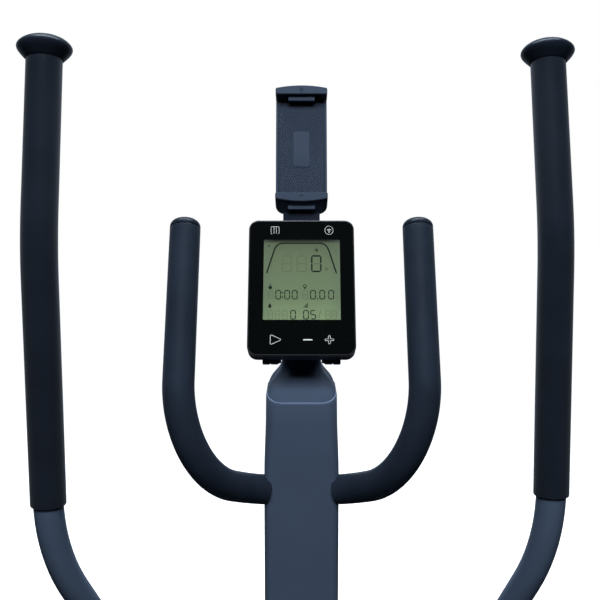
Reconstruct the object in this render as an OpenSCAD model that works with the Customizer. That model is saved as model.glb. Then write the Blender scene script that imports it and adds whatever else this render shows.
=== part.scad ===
// Elliptical trainer with a rear drive, two moving levers, a fixed handlebar,
// a small touch console and a spring phone holder.
// Millimetres. +X is the user's right, +Y the front of the machine, +Z up.
// The origin is on the floor, in the middle of the machine's length and width.

/* [Base] */
// Length of the base, from the rear end caps to the front of the transport wheels
base_length = 1250; // [1240:5:1280]
// Width of the two cross feet over their end caps
foot_width = 560; // [530:10:600]
// Outside diameter of the cross feet tubes
foot_tube_d = 50; // [46:1:52]
// Diameter of the transport wheels
wheel_d = 64; // [58:1:66]

/* [Mast] */
// Width of the mast cover below the fixed handlebar
mast_width = 85; // [82:1:90]
// Depth of the mast cover, user side to front side
mast_depth = 95; // [92:1:100]
// Lean of the mast towards the user, in degrees
mast_lean = 2.3; // [1.8:0.1:2.8]
// Height of the front edge of the mast's slanted top above the floor
mast_top_z = 1220; // [1205:1:1225]

/* [Levers] */
// Height of the lever pivot above the floor
pivot_z = 875; // [860:1:885]
// Distance between the lever pivot and the pedal bar pivot
arm_length = 545; // [535:1:555]
// Distance of each lever arm's centre plane from the middle of the machine
arm_x = 140; // [138:1:144]
// Distance of each hand grip from the middle of the machine
grip_x = 271; // [262:1:280]
// Diameter of the steel lever tubes
lever_tube_d = 32; // [30:1:34]
// Diameter of the foam grips on the levers
grip_d = 38; // [37:1:41]
// Swing of each lever away from its middle position at rest, in degrees
rest_swing = 1.65; // [1:0.05:2.5]

/* [Fixed handlebar] */
// Distance of each fixed grip from the middle of the machine
fixed_x = 129.5; // [126:0.5:134]
// Diameter of the foam sleeves on the fixed handlebar
sleeve_d = 34; // [32:1:35]

/* [Drive] */
// Distance between the crank axle and the crank pins
crank_r = 145; // [135:1:148]
// Height of the crank axle above the floor
crank_z = 290; // [286:1:300]
// Diameter of the round crank discs
disc_d = 440; // [400:5:444]
// Diameter of the flywheel
flywheel_d = 210; // [190:2:214]
// Number of times the flywheel turns for one turn of the crank
belt_ratio = 8; // [7:0.5:8]

/* [Pedals] */
// Length of each foot tray
pedal_length = 370; // [330:5:380]
// Width of each foot tray
pedal_width = 140; // [130:1:142]

/* [Console] */
// Width of the console
console_w = 120; // [116:1:124]
// Length of the console face, bottom edge to top edge
console_l = 160; // [156:0.5:162]
// Lean of the console face away from the user, in degrees
console_tilt = 23; // [21:0.5:25]
// Width of the phone holder
holder_w = 61; // [56:1:64]
// Lean of the phone holder away from the user, in degrees
holder_tilt = 13.7; // [12:0.1:15]

/* [Hidden] */
$fn = 64;

// Colours
slate = [0.23, 0.27, 0.33];
navy = [0.09, 0.11, 0.15];
black = [0.05, 0.05, 0.06];
rubber = [0.12, 0.13, 0.14];
steel = [0.62, 0.64, 0.66];
zinc = [0.75, 0.75, 0.72];
display_grey = [0.55, 0.6, 0.55];
board_green = [0.1, 0.35, 0.2];

// Gap between moving pieces, and the radial clearance of running fits
gap = 0.5;
running = 0.05;
// Gap between pieces that are fastened together
seat = 0.1;

// Base
foot_r = foot_tube_d / 2;
cap_r = 34;
foot_z = cap_r - 2;
beam_w = 70;
beam_h = 40;
beam_z = foot_z + foot_r;
beam_top = beam_z + beam_h;
rear_foot_y = -base_length / 2 + cap_r;
wheel_y = base_length / 2 - wheel_d / 2;
wheel_z = wheel_d / 2 + 4;
wheel_w = 22;
front_foot_y = wheel_y - 42;
foot_tube_x = foot_width / 2 - 46;
wheel_x = foot_width / 2 - 20;
bolt_x = 22;

// Mast: local frame at its foot, leaning towards the user
mast_foot_y = 509;
mast_foot_z = 80;
mast_corner = 16;
mast_top_h = (mast_top_z - mast_foot_z) / cos(mast_lean);
mast_slope = 23;
shoulder_h = mast_top_h + 8;
boss_h = 896;
wall = 3;
tube_w = 50;
tube_d = 45;
tube_shift = 8;
tube_wall = 2;
function mast_y(z) = mast_foot_y - (z - mast_foot_z) * tan(mast_lean);

// Levers
pivot_y = mast_y(pivot_z);
axle_r = 12.5;
hub_r = 24;
hub_l = 56;
arm_lean = 1.4;
function foot_angle(side) = arm_lean - side * rest_swing;
function foot_pos_y(side) = pivot_y + arm_length * sin(foot_angle(side));
function foot_pos_z(side) = pivot_z - arm_length * cos(foot_angle(side));

// Crank: the left pin is up and the right pin is down at rest, and both pedal bars
// come out the same length
crank_y = -390;
foot_mid_y = pivot_y + arm_length * sin(arm_lean);
foot_mid_z = pivot_z - arm_length * cos(arm_lean);
crank_rest = asin(arm_length * sin(rest_swing) / crank_r
    - (foot_mid_z - crank_z) / (foot_mid_y - crank_y));
function pin_y(side) = crank_y - side * crank_r * sin(crank_rest);
function pin_z(side) = crank_z - side * crank_r * cos(crank_rest);
function bar_dy(side) = foot_pos_y(side) - pin_y(side);
function bar_dz(side) = foot_pos_z(side) - pin_z(side);
function bar_tilt(side) = atan2(bar_dz(side), bar_dy(side));
function bar_length(side) = norm([bar_dy(side), bar_dz(side)]);

// Drive train, seen across the machine
plate_in = beam_w / 2;
plate_t = 5;
shell_in = 55;
shell_out = 58;
arm_in = 60;
arm_t = 8;
disc_in = 69;
disc_t = 8;
disc_out = disc_in + disc_t;
crank_axle_r = 10;
flywheel_y = -205;
flywheel_z = 228;
flywheel_t = 20;
flywheel_x = -30;
fly_axle_r = 7.5;
pulley_r = 140;
small_pulley_r = pulley_r / belt_ratio;
brake_r = 109;
brake_t = 11;
brake_y = flywheel_y + 120 * cos(30);
brake_z = flywheel_z - 120 * sin(30);
pulley_x = 8;
pulley_w = 12;
shell_r = 226;
shell_nose_r = 136;
bearing_w = 12;

// Bent tubes: number of sides and largest step round a bend, in degrees
sides = 20;
bend_step = 9;

// Lever tube, drawn for the right side with the lever in its middle position
stub_root = [arm_x + 6, pivot_y - 30, pivot_z + 30];
stub_l = 50;
stub_bolts = [24, 40];
lever_low = [grip_x - 49, 430, 940];
lever_knee = [grip_x, 372, 1069];
lever_elbow = [grip_x, 368, 1402];
lever_end = [grip_x, 411, 1594];
grip_start_z = 1123;
stub_dir = unit(lever_low - stub_root);
lever_path = [stub_root + 12 * stub_dir, lever_low, lever_knee, lever_elbow, lever_end];
lever_bends = [0, 60, 225, 320, 0];
grip_share = (grip_start_z - lever_knee[2]) / (lever_elbow[2] - lever_knee[2]);
grip_start = lever_knee + grip_share * (lever_elbow - lever_knee);
grip_path = [grip_start, lever_elbow, lever_end];
grip_bends = [0, 320, 0];

// Fixed handlebar, right half
bar_r = 12.5;
fixed_low = [46, 440, 1112];
fixed_corner = [fixed_x, 320, 1163];
fixed_end = [fixed_x, 428, 1414];
fixed_bends = [0, 80, 100, 0];
fixed_path = [[0, fixed_low[1], fixed_low[2]], fixed_low, fixed_corner, fixed_end];
bar_exit = [430, 1116];

// Console and phone holder
console_y = 396.3;
console_z = 1276;
console_t = 24;
console_corner = 10;
board_y = 9.5;
board_t = 1.6;
holder_y = 465;
holder_z = 1435;
holder_l = 151;
jaw_depth = 17;
back_t = 11;
jaw_h = 10.5;

// Unit vector
function unit(v) = v / norm(v);

// Flat ring, or a disc when the hole is 0
module ring(r, hole) {
    difference() {
        circle(r = r);
        if (hole > 0) circle(r = hole);
    }
}

// Straight round bar or tube from point a to point b
module rod(a, b, r, hole = 0) {
    v = b - a;
    translate(a)
        rotate([0, acos(v[2] / norm(v)), atan2(v[1], v[0])])
            linear_extrude(norm(v)) ring(r, hole);
}

// Points of the arc that rounds the corner b of the path a, b, c
function arc_points(a, b, c, bend_r) =
    let (u = unit(b - a), w = unit(c - b), angle = acos(u * w))
    let (start = b - u * bend_r * tan(angle / 2), steps = ceil(angle / bend_step))
    let (middle = b + unit(w - u) * bend_r / cos(angle / 2))
    [for (k = [0 : steps])
        middle + (start - middle) * cos(k * angle / steps) + u * bend_r * sin(k * angle / steps)];

// Points along the path p with its corners rounded by the radii q
function path_points(p, q) = [
    p[0],
    for (i = [1 : len(p) - 2]) each arc_points(p[i - 1], p[i], p[i + 1], q[i]),
    p[len(p) - 1]
];

// Ring of points round the line at its point k
function ring_points(line, k, r, aside) =
    let (ahead = unit(line[min(k + 1, len(line) - 1)] - line[max(k - 1, 0)]))
    let (across = unit(cross(ahead, aside)), up = cross(ahead, across))
    [for (s = [0 : sides - 1]) line[k] + r * (across * cos(s * 360 / sides) + up * sin(s * 360 / sides))];

// Bent tube along the path p with the bend radii q
module bent_tube(p, q, r, hole, aside) {
    line = path_points(p, q);
    last = len(line) - 1;
    inside = len(line) * sides;
    points = [for (radius = [r, hole], k = [0 : last]) each ring_points(line, k, radius, aside)];
    walls = [for (k = [0 : last - 1], s = [0 : sides - 1])
        let (a = k * sides + s, b = k * sides + (s + 1) % sides)
            each [[a, a + sides, b + sides, b],
                [inside + a, inside + b, inside + b + sides, inside + a + sides]]];
    ends = [for (s = [0 : sides - 1])
        let (a = s, b = (s + 1) % sides, c = last * sides)
            each [[a, b, inside + b, inside + a],
                [c + a, c + inside + a, c + inside + b, c + b]]];
    polyhedron(points, concat(walls, ends), convexity = 6);
}

// Rectangle with round corners
module rounded(w, d, r) {
    square([w - 2 * r, d], center = true);
    square([w, d - 2 * r], center = true);
    for (x = [-1, 1], y = [-1, 1])
        translate([x * (w / 2 - r), y * (d / 2 - r)]) circle(r = r);
}

// Extrusion along +X of an outline drawn with Y to the right and Z up, from x0
module across(x0, length) {
    translate([x0, 0, 0]) rotate([90, 0, 90]) linear_extrude(length) children();
}

// Cylinder along X, from x0, with its axis at y, z
module cross_rod(x0, length, y, z, r, hole = 0) {
    translate([0, y, z]) across(x0, length) ring(r, hole);
}

// Copies to the left, mirrored, and to the right
module both_sides() {
    for (side = [0, 1]) mirror([side, 0, 0]) children();
}

// Keeps a right-hand piece, or mirrors it to the left when side is -1
module on_side(side) {
    mirror([side < 0 ? 1 : 0, 0, 0]) children();
}

// Piece of a lever, drawn in the lever's middle position
module on_lever(side) {
    on_side(side)
        translate([0, pivot_y, pivot_z])
            rotate([-side * rest_swing, 0, 0])
                translate([0, -pivot_y, -pivot_z]) children();
}

// Piece of a pedal bar: the front pivot is at the origin and the bar runs along -Y
module on_bar(side) {
    on_side(side)
        translate([0, foot_pos_y(side), foot_pos_z(side)])
            rotate([bar_tilt(side), 0, 0]) children();
}

// Piece of the mast, drawn upright on its foot
module on_mast() {
    translate([0, mast_foot_y, mast_foot_z]) rotate([mast_lean, 0, 0]) children();
}

// Piece of the console: Z runs up its face and Y into it
module on_console() {
    translate([0, console_y, console_z]) rotate([-console_tilt, 0, 0]) children();
}

// Piece of the phone holder: Z runs up it and Y into it
module on_holder() {
    translate([0, holder_y, holder_z]) rotate([-holder_tilt, 0, 0]) children();
}

// Hexagon-head bolt along -Z, its head standing on z = 0
module bolt(d, length) {
    cylinder(d = d * 1.7, h = d * 0.6, $fn = 6);
    translate([0, 0, -length]) cylinder(d = d, h = length);
}

// ---------------------------------------------------------------- base

// Rectangular tube with end plates and the stub that carries the mast
module base_beam() {
    y0 = rear_foot_y - foot_r;
    length = front_foot_y + foot_r - y0;
    color(slate) difference() {
        union() {
            translate([-beam_w / 2, y0, beam_z]) cube([beam_w, length, beam_h]);
            on_mast() translate([0, tube_shift, beam_top - mast_foot_z - 3])
                linear_extrude(95) rounded(tube_w - 4.4, tube_d - 4.4, 4);
        }
        translate([-beam_w / 2 + wall, y0 + wall, beam_z + wall])
            cube([beam_w - 2 * wall, length - 2 * wall, beam_h - 2 * wall]);
        on_mast() translate([0, tube_shift, beam_top - mast_foot_z + 3])
            linear_extrude(100) rounded(tube_w - 10, tube_d - 10, 2);
        for (x = [-bolt_x, bolt_x], y = [rear_foot_y, front_foot_y])
            translate([x, y, beam_z - 1]) cylinder(r = 5.2, h = beam_h + 2);
        mast_bolt_holes(4.2);
    }
}

// Cross holes for the two bolts that hold the mast on its stub
module mast_bolt_holes(r) {
    on_mast() for (h = [55, 92])
        cross_rod(-tube_w, 2 * tube_w, tube_shift, h, r);
}

// Two plates with the bearing shells of the crank axle and the flywheel axle,
// and the pin that the brake arm turns on
module drive_frame() {
    color(steel) both_sides() difference() {
        union() {
            across(plate_in, plate_t) drive_plate();
            cross_rod(plate_in - 3, bearing_w + 2, crank_y, crank_z, 27);
            cross_rod(plate_in - 3, bearing_w + 2, flywheel_y, flywheel_z, 22);
        }
        cross_rod(plate_in - 4, bearing_w + 4, crank_y, crank_z, 21);
        cross_rod(plate_in - 4, bearing_w + 4, flywheel_y, flywheel_z, 16);
    }
    color(steel) cross_rod(-plate_in, plate_in - 4, brake_y, brake_z, 4);
}

// Outline of a bearing plate: struts on the side of the beam, a lug for the brake arm's
// pin and a lug for the brake motor
module drive_plate() {
    foot = beam_z + 5;
    top = [crank_z, flywheel_z];
    for (i = [0, 1]) {
        y = [crank_y, flywheel_y][i];
        polygon([[y - 70, foot], [y + 45, foot], [y + 28, top[i]], [y - 28, top[i]]]);
    }
    translate([crank_y, crank_z]) circle(r = 34);
    translate([flywheel_y, flywheel_z]) circle(r = 28);
    translate([brake_y, brake_z]) circle(r = 12);
    polygon([
        [flywheel_y + 20, flywheel_z - 12], [flywheel_y + 20, foot],
        [brake_y + 8, brake_z - 9], [brake_y + 4, brake_z + 11]
    ]);
    polygon([
        [flywheel_y - 10, flywheel_z + 24], [flywheel_y + 26, flywheel_z + 4],
        [-106, 282], [-140, 304]
    ]);
}

// Round cross tube with the bolt holes
module cross_foot(y) {
    difference() {
        cross_rod(-foot_tube_x, 2 * foot_tube_x, y, foot_z, foot_r, foot_r - 2.5);
        for (x = [-bolt_x, bolt_x])
            translate([x, y, 0]) cylinder(r = 5.2, h = beam_z + 5);
    }
}

// The two cross tubes that the machine stands on
module cross_feet() {
    color(slate) {
        cross_foot(front_foot_y);
        cross_foot(rear_foot_y);
    }
}

// Plastic caps on the front foot, with a fork for each transport wheel
module front_end_caps() {
    slot_x = wheel_x - wheel_w / 2 - 1;
    color(black) both_sides() difference() {
        across(foot_tube_x - 14, foot_width / 2 - foot_tube_x + 14) hull() {
            translate([front_foot_y, foot_z]) circle(r = cap_r, $fn = 48);
            translate([wheel_y, wheel_z]) circle(r = 15, $fn = 32);
        }
        cross_rod(foot_tube_x - 15, 15 + seat, front_foot_y, foot_z, foot_r + seat);
        cross_rod(slot_x, wheel_w + 2, wheel_y, wheel_z, wheel_d / 2 + 3);
        translate([foot_tube_x - 15, wheel_y - 22, -1])
            cube([slot_x - 6 - foot_tube_x + 15, 60, 2 * cap_r]);
        below_floor(front_foot_y);
    }
    // Axle pin of each wheel
    color(zinc) both_sides()
        cross_rod(slot_x - 3, wheel_w + 8, wheel_y, wheel_z, 5);
}

// Round plastic caps on the rear foot
module rear_end_caps() {
    color(black) both_sides() difference() {
        union() {
            cross_rod(foot_tube_x - 14, foot_width / 2 - foot_tube_x + 4, rear_foot_y, foot_z, cap_r);
            cross_rod(foot_width / 2 - 11, 11, rear_foot_y, foot_z, cap_r - 6);
        }
        cross_rod(foot_tube_x - 15, 15 + seat, rear_foot_y, foot_z, foot_r + seat);
        below_floor(rear_foot_y);
    }
}

// Block under the floor that gives an end cap its flat sole
module below_floor(y) {
    translate([0, y - 2 * cap_r, -20]) cube([foot_width, 5 * cap_r, 20]);
}

// Bolts of the two feet and cross bolts of the mast
module frame_bolts() {
    color(zinc) {
        for (x = [-bolt_x, bolt_x], y = [rear_foot_y, front_foot_y])
            translate([x, y, beam_top]) bolt(10, beam_top - foot_z + foot_r - 1);
        on_mast() for (h = [55, 92])
            translate([tube_w / 2, tube_shift, h]) rotate([0, 90, 0]) bolt(8, tube_w + 4);
    }
}

module transport_wheel(side) {
    color(rubber) on_side(side) difference() {
        union() {
            cross_rod(wheel_x - wheel_w / 2 + 2, wheel_w - 4, wheel_y, wheel_z, wheel_d / 2);
            cross_rod(wheel_x - wheel_w / 2, wheel_w, wheel_y, wheel_z, wheel_d / 2 - 3);
        }
        cross_rod(wheel_x - wheel_w, 2 * wheel_w, wheel_y, wheel_z, 5 + running);
        cross_rod(wheel_x - wheel_w / 2 - 1, 5, wheel_y, wheel_z, wheel_d / 2 - 9, 9);
        cross_rod(wheel_x + wheel_w / 2 - 4, 5, wheel_y, wheel_z, wheel_d / 2 - 9, 9);
    }
}

module transport_wheel_left() {
    transport_wheel(-1);
}

module transport_wheel_right() {
    transport_wheel(1);
}

// ---------------------------------------------------------------- mast

// Steel tube of the mast, with cross holes for the axle and the bolts
module mast_tube() {
    color(steel) difference() {
        union() {
            on_mast() translate([0, tube_shift, beam_top - mast_foot_z + 2]) difference() {
                linear_extrude(mast_top_h - 40) rounded(tube_w, tube_d, 6);
                translate([0, 0, -1]) linear_extrude(mast_top_h - 38)
                    rounded(tube_w - 2 * tube_wall, tube_d - 2 * tube_wall, 4);
            }
            // Saddle that holds the fixed handlebar
            translate([-5.5, bar_exit[0] + 8, bar_exit[1] - 20]) cube([11, 17, 36]);
        }
        cross_rod(-tube_w, 2 * tube_w, fixed_low[1], fixed_low[2], bar_r + seat);
        cross_rod(-tube_w, 2 * tube_w, pivot_y, pivot_z, axle_r + seat);
        mast_bolt_holes(4.2);
    }
}

// Everything above the top of the mast cover: slanted on the user's side, level behind
module above_mast_top() {
    translate([0, -mast_depth / 2, mast_top_h]) rotate([mast_slope, 0, 0])
        translate([-60, -20, 0]) cube([120, 160, 90]);
    translate([-60, -60, shoulder_h]) cube([120, 120, 150]);
}

// Hollow mast cover, still in one piece
module mast_shell() {
    difference() {
        on_mast() difference() {
            translate([0, 0, 30]) linear_extrude(mast_top_h + 20) difference() {
                rounded(mast_width, mast_depth, mast_corner);
                rounded(mast_width - 2 * wall, mast_depth - 2 * wall, mast_corner - wall);
            }
            above_mast_top();
        }
        cross_rod(-60, 120, pivot_y, pivot_z, axle_r + gap);
        cross_rod(-60, 120, bar_exit[0], bar_exit[1], bar_r + 3);
    }
}

// Half of the mast cover on the user's side
module mast_cover_rear() {
    face = -mast_depth / 2;
    color(slate) difference() {
        union() {
            difference() {
                mast_shell();
                on_mast() translate([-60, 0, 0]) cube([120, 80, mast_top_h + 100]);
            }
            cover_boss(11, face - 1.5, face + 1);
        }
        cover_boss(5, face - 3, face - 0.5);
    }
}

// Round boss on the user's face of the mast cover, or the dimple in it
module cover_boss(r, y0, y1) {
    on_mast() translate([0, y1, boss_h]) rotate([90, 0, 0]) cylinder(r = r, h = y1 - y0);
}

// Half of the mast cover on the front side
module mast_cover_front() {
    color(slate) difference() {
        mast_shell();
        on_mast() translate([-60, -80 + seat, 0]) cube([120, 80, mast_top_h + 100]);
    }
}

// Shoulder on top of the mast with the neck and the plate that carry the console
module mast_head() {
    front = -mast_depth / 2;
    ridge = front + (shoulder_h - mast_top_h) / tan(mast_slope);
    color(slate) {
        // Spigot in the mast tube
        on_mast() translate([0, tube_shift, mast_top_h - 60]) linear_extrude(84)
            rounded(tube_w - 2 * tube_wall - 1, tube_d - 2 * tube_wall - 1, 3);
        on_mast() difference() {
            hull() {
                difference() {
                    translate([0, 0, mast_top_h - 10]) linear_extrude(30)
                        rounded(mast_width, mast_depth, mast_corner, $fn = 32);
                    translate([0, 0, 1.6]) above_mast_top();
                }
                translate([0, 17, mast_top_h + 26]) linear_extrude(2) rounded(49, 54, 16, $fn = 32);
            }
            // The mast cover
            across(-60, 120) polygon([
                [front - 10, mast_top_h - 50], [front - 10, mast_top_h + seat - 10 * tan(mast_slope)],
                [ridge, shoulder_h + seat], [60, shoulder_h + seat], [60, mast_top_h - 50]
            ]);
        }
        across(-23, 46) polygon([
            [456, 1236], [444, 1262], [440.5, 1286], [457, 1326], [487, 1326], [500, 1262], [500, 1236]
        ]);
        on_console() translate([-37, console_t + seat, 6]) cube([74, 18, 62]);
        on_console() both_sides() {
            translate([25.8, console_t + 0.4, -2.8]) cube([9.2, 7, 15]);
            translate([35.4, console_t + 0.4, -2.8]) cube([8.4, 7.6, 14]);
        }
    }
}

// Collar that covers the foot of the mast and straddles the beam
module mast_boot() {
    color(slate) difference() {
        on_mast() difference() {
            hull() {
                mast_slice(122, 150, 30, 10);
                mast_slice(mast_width + 12, mast_depth + 12, mast_corner + 6, 88);
            }
            hull() {
                mast_slice(116, 144, 27, 9.9);
                mast_slice(mast_width + 6, mast_depth + 6, mast_corner + 3, 84);
            }
            translate([0, 0, 60]) linear_extrude(60)
                rounded(mast_width + 2 * seat, mast_depth + 2 * seat, mast_corner);
        }
        translate([-beam_w / 2 - seat, 0, beam_z - 20]) cube([beam_w + 2 * seat, 700, beam_h + 20 + seat]);
    }
}

// Thin slice of a rounded outline at height h
module mast_slice(w, d, corner, h) {
    translate([0, 0, h]) linear_extrude(0.1) rounded(w, d, corner, $fn = 32);
}

// Axle that carries both levers, with a sleeve on each side of the mast
module pivot_axle() {
    hub_in = arm_x - hub_l / 2;
    color(steel) cross_rod(-arm_x - hub_l / 2 - 6, 2 * arm_x + hub_l + 12, pivot_y, pivot_z, axle_r);
    color(black) both_sides()
        cross_rod(mast_width / 2 + 1, hub_in - mast_width / 2 - 1 - gap, pivot_y, pivot_z,
            20, axle_r);
}

// Domed caps on the ends of the lever axle
module axle_caps() {
    x0 = arm_x + hub_l / 2 + gap;
    color(black) both_sides() difference() {
        translate([x0, pivot_y, pivot_z]) rotate([0, 90, 0]) rotate_extrude() polygon(concat(
            [[0, 0], [28, 0], [28, 6]],
            [for (a = [15 : 15 : 75]) [28 * cos(a), 6 + 9 * sin(a)]],
            [[0, 15]]
        ));
        cross_rod(x0 - 1, 8 + seat, pivot_y, pivot_z, axle_r + seat);
    }
}

// Steel tube of the fixed handlebar, through the mast from grip to grip
module fixed_handlebar() {
    left = [for (i = [3 : -1 : 1]) [-fixed_path[i][0], fixed_path[i][1], fixed_path[i][2]]];
    right = [for (i = [1 : 3]) fixed_path[i]];
    bends = [for (i = [3, 2, 1, 1, 2, 3]) fixed_bends[i]];
    color(steel) bent_tube(concat(left, right), bends, bar_r, bar_r - 2, [0, 1, 1]);
}

// Foam sleeve that covers one side of the fixed handlebar
module fixed_grip(side) {
    color(navy) on_side(side) difference() {
        bent_tube(fixed_path, fixed_bends, sleeve_d / 2, bar_r + seat, [0, 1, 1]);
        translate([-1, 380, 1050]) cube([mast_width / 2 + 1 + gap, 120, 120]);
    }
}

module fixed_grip_left() {
    fixed_grip(-1);
}

module fixed_grip_right() {
    fixed_grip(1);
}

// Round end caps of the fixed handlebar
module fixed_grip_caps() {
    lean = atan2(fixed_end[1] - fixed_corner[1], fixed_end[2] - fixed_corner[2]);
    color(navy) both_sides() translate(fixed_end) rotate([-lean, 0, 0]) {
        translate([0, 0, seat]) rotate_extrude() polygon(concat(
            [[0, 0], [sleeve_d / 2, 0]],
            [for (a = [0 : 15 : 75]) [sleeve_d / 2 * cos(a), 3 + 8 * sin(a)]],
            [[0, 11]]
        ));
        translate([0, 0, -18]) cylinder(r = bar_r - 2.5, h = 19);
    }
}

// ---------------------------------------------------------------- levers

// Hub, lower arm and stub of a lever
module lever_arm(side) {
    foot = [arm_x, pivot_y + arm_length * sin(arm_lean), pivot_z - arm_length * cos(arm_lean)];
    color(slate) on_lever(side) difference() {
        union() {
            cross_rod(arm_x - hub_l / 2, hub_l, pivot_y, pivot_z, hub_r);
            rod([stub_root[0], pivot_y, pivot_z], stub_root, lever_tube_d / 2 + 4);
            translate(stub_root) sphere(r = lever_tube_d / 2 + 4.6);
            rod(stub_root, stub_root + stub_l * stub_dir, lever_tube_d / 2 + 4);
            translate(foot) rotate([arm_lean, 0, 0]) {
                translate([-12.5, -22, 46]) cube([25, 44, arm_length - 56]);
                translate([-25, -26, 40]) cube([50, 52, 8]);
                for (x = [-25, 19])
                    across(x, 6) {
                        translate([-26, 0]) square([52, 44]);
                        circle(r = 26);
                    }
            }
        }
        cross_rod(arm_x - hub_l, 2 * hub_l, pivot_y, pivot_z, axle_r + running);
        rod(stub_root + 11 * stub_dir, stub_root + 60 * stub_dir, lever_tube_d / 2 + seat);
        cross_rod(arm_x - 30, 60, foot[1], foot[2], 8);
        stub_bolt_axes(4.2);
    }
}

// Axes of the two bolts that hold the handlebar in the stub, with radius r
module stub_bolt_axes(r) {
    side_dir = unit(cross(stub_dir, [0, 0, 1]));
    for (s = stub_bolts) {
        middle = stub_root + s * stub_dir;
        rod(middle - 30 * side_dir, middle + 30 * side_dir, r);
    }
}

// Upper tube of a lever
module handlebar(side) {
    color(slate) on_lever(side) difference() {
        bent_tube(lever_path, lever_bends, lever_tube_d / 2, lever_tube_d / 2 - 2, [1, 0, 0]);
        stub_bolt_axes(4.2);
    }
}

// Bolts that hold a handlebar in its stub
module handlebar_bolts(side) {
    side_dir = unit(cross(stub_dir, [0, 0, 1]));
    reach = lever_tube_d / 2 + 4;
    color(zinc) on_lever(side) for (s = stub_bolts) {
        middle = stub_root + s * stub_dir;
        rod(middle - (reach + 2) * side_dir, middle + (reach + 2) * side_dir, 4);
        rod(middle + reach * side_dir, middle + (reach + 5) * side_dir, 7);
        rod(middle - (reach + 6) * side_dir, middle - reach * side_dir, 6.5);
    }
}

// Foam grip of a lever
module grip(side) {
    color(navy) on_lever(side)
        bent_tube(grip_path, grip_bends, grip_d / 2, lever_tube_d / 2 + 0.35, [1, 0, 0]);
}

// Mushroom cap on top of a lever
module grip_cap(side) {
    lean = atan2(lever_end[1] - lever_elbow[1], lever_end[2] - lever_elbow[2]);
    color(navy) on_lever(side) translate(lever_end) rotate([-lean, 0, 0]) {
        translate([0, 0, seat]) rotate_extrude() polygon(concat(
            [[0, 0], [24, 0], [28, 3], [29, 8]],
            [for (a = [10 : 10 : 80]) [29 * cos(a), 8 + 15 * sin(a)]],
            [[0, 23]]
        ));
        translate([0, 0, -22]) cylinder(r = lever_tube_d / 2 - 2.5, h = 23);
    }
}

module lever_arm_left() {
    lever_arm(-1);
}

module lever_arm_right() {
    lever_arm(1);
}

module handlebar_left() {
    handlebar(-1);
}

module handlebar_right() {
    handlebar(1);
}

module handlebar_bolts_left() {
    handlebar_bolts(-1);
}

module handlebar_bolts_right() {
    handlebar_bolts(1);
}

module grip_left() {
    grip(-1);
}

module grip_right() {
    grip(1);
}

module grip_cap_left() {
    grip_cap(-1);
}

module grip_cap_right() {
    grip_cap(1);
}

// ---------------------------------------------------------------- pedal bars

// Rectangular tube with the front bush, its pivot bolt and the rear bearing shell
module pedal_bar(side) {
    length = bar_length(side);
    color(slate) on_bar(side) difference() {
        union() {
            translate([arm_x - 14, -length + 16, -20]) cube([28, length - 32, 40]);
            cross_rod(arm_x - 18.4, 36.8, 0, 0, 20);
            cross_rod(arm_x - 24, 48, -length, 0, 24);
        }
        translate([arm_x - 12, -length + 26, -18]) cube([24, length - 52, 36]);
        cross_rod(arm_x - 30, 60, -length, 0, 16 + seat);
    }
    // Pivot bolt in the ears of the lever arm
    color(zinc) on_bar(side) {
        cross_rod(arm_x - 30, 60, 0, 0, 8 - running);
        cross_rod(arm_x + 25 + gap, 8, 0, 0, 13);
        cross_rod(arm_x - 33 - gap, 8, 0, 0, 13);
    }
}

// Crank pin with its flange, the bearing on it and the outer cover
module crank_pin(side) {
    color(steel) on_bar(side) translate([0, -bar_length(side), 0]) {
        cross_rod(disc_out + gap, arm_x - 25 - disc_out - gap, 0, 0, 22);
        cross_rod(arm_x - 25.5, 50, 0, 0, 16);
        cross_rod(arm_x + 24.2, 7, 0, 0, 24);
    }
}

// Foot tray on a pedal bar
module pedal(side) {
    rim = 12;
    color(black) on_bar(side) translate([152, -566, 20 + seat]) difference() {
        linear_extrude(10 + rim) rounded(pedal_width, pedal_length, 38);
        translate([0, 0, 8]) linear_extrude(20) rounded(pedal_width - 14, pedal_length - 14, 31);
        translate([0, 0, -1]) linear_extrude(5) difference() {
            rounded(pedal_width - 10, pedal_length - 10, 33);
            translate([arm_x - 152, 0]) square([34, pedal_length], center = true);
        }
    }
}

// Rubber mat in a foot tray
module pedal_pad(side) {
    color(rubber) on_bar(side) translate([152, -566, 28 + 2 * seat])
        linear_extrude(6) rounded(pedal_width - 16, pedal_length - 16, 30);
}

module pedal_bar_left() {
    pedal_bar(-1);
}

module pedal_bar_right() {
    pedal_bar(1);
}

module crank_pin_left() {
    crank_pin(-1);
}

module crank_pin_right() {
    crank_pin(1);
}

module pedal_left() {
    pedal(-1);
}

module pedal_right() {
    pedal(1);
}

module pedal_pad_left() {
    pedal_pad(-1);
}

module pedal_pad_right() {
    pedal_pad(1);
}

// ---------------------------------------------------------------- drive

// Outline of the drive housing, drawn smaller by inset
module housing_outline(inset) {
    hull() {
        translate([crank_y, crank_z]) circle(r = shell_r - inset, $fn = 96);
        translate([flywheel_y, flywheel_z]) circle(r = shell_nose_r - inset, $fn = 64);
    }
}

// Half of the drive housing
module housing(side) {
    color(slate) on_side(side) difference() {
        across(side > 0 ? seat : 0, shell_out - (side > 0 ? seat : 0)) housing_outline(0);
        across(-1, shell_in + 1) housing_outline(wall);
        translate([-1, -800, 0]) cube([beam_w / 2 + plate_t + 2, 900, beam_top + 2]);
        translate([plate_in - 0.3, -190, beam_top - 5]) cube([plate_t + 0.6, 80, 32]);
        cross_rod(shell_in - 1, 10, crank_y, crank_z, 24);
    }
}

module housing_left() {
    housing(-1);
}

module housing_right() {
    housing(1);
}

// Screws that hold the two halves of the housing together
module housing_screws() {
    color(zinc) both_sides() for (a = [10, 50, 130, 170, 215])
        cross_rod(shell_out, 1.6, crank_y + 212 * cos(a), crank_z + 212 * sin(a), 4);
}

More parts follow.
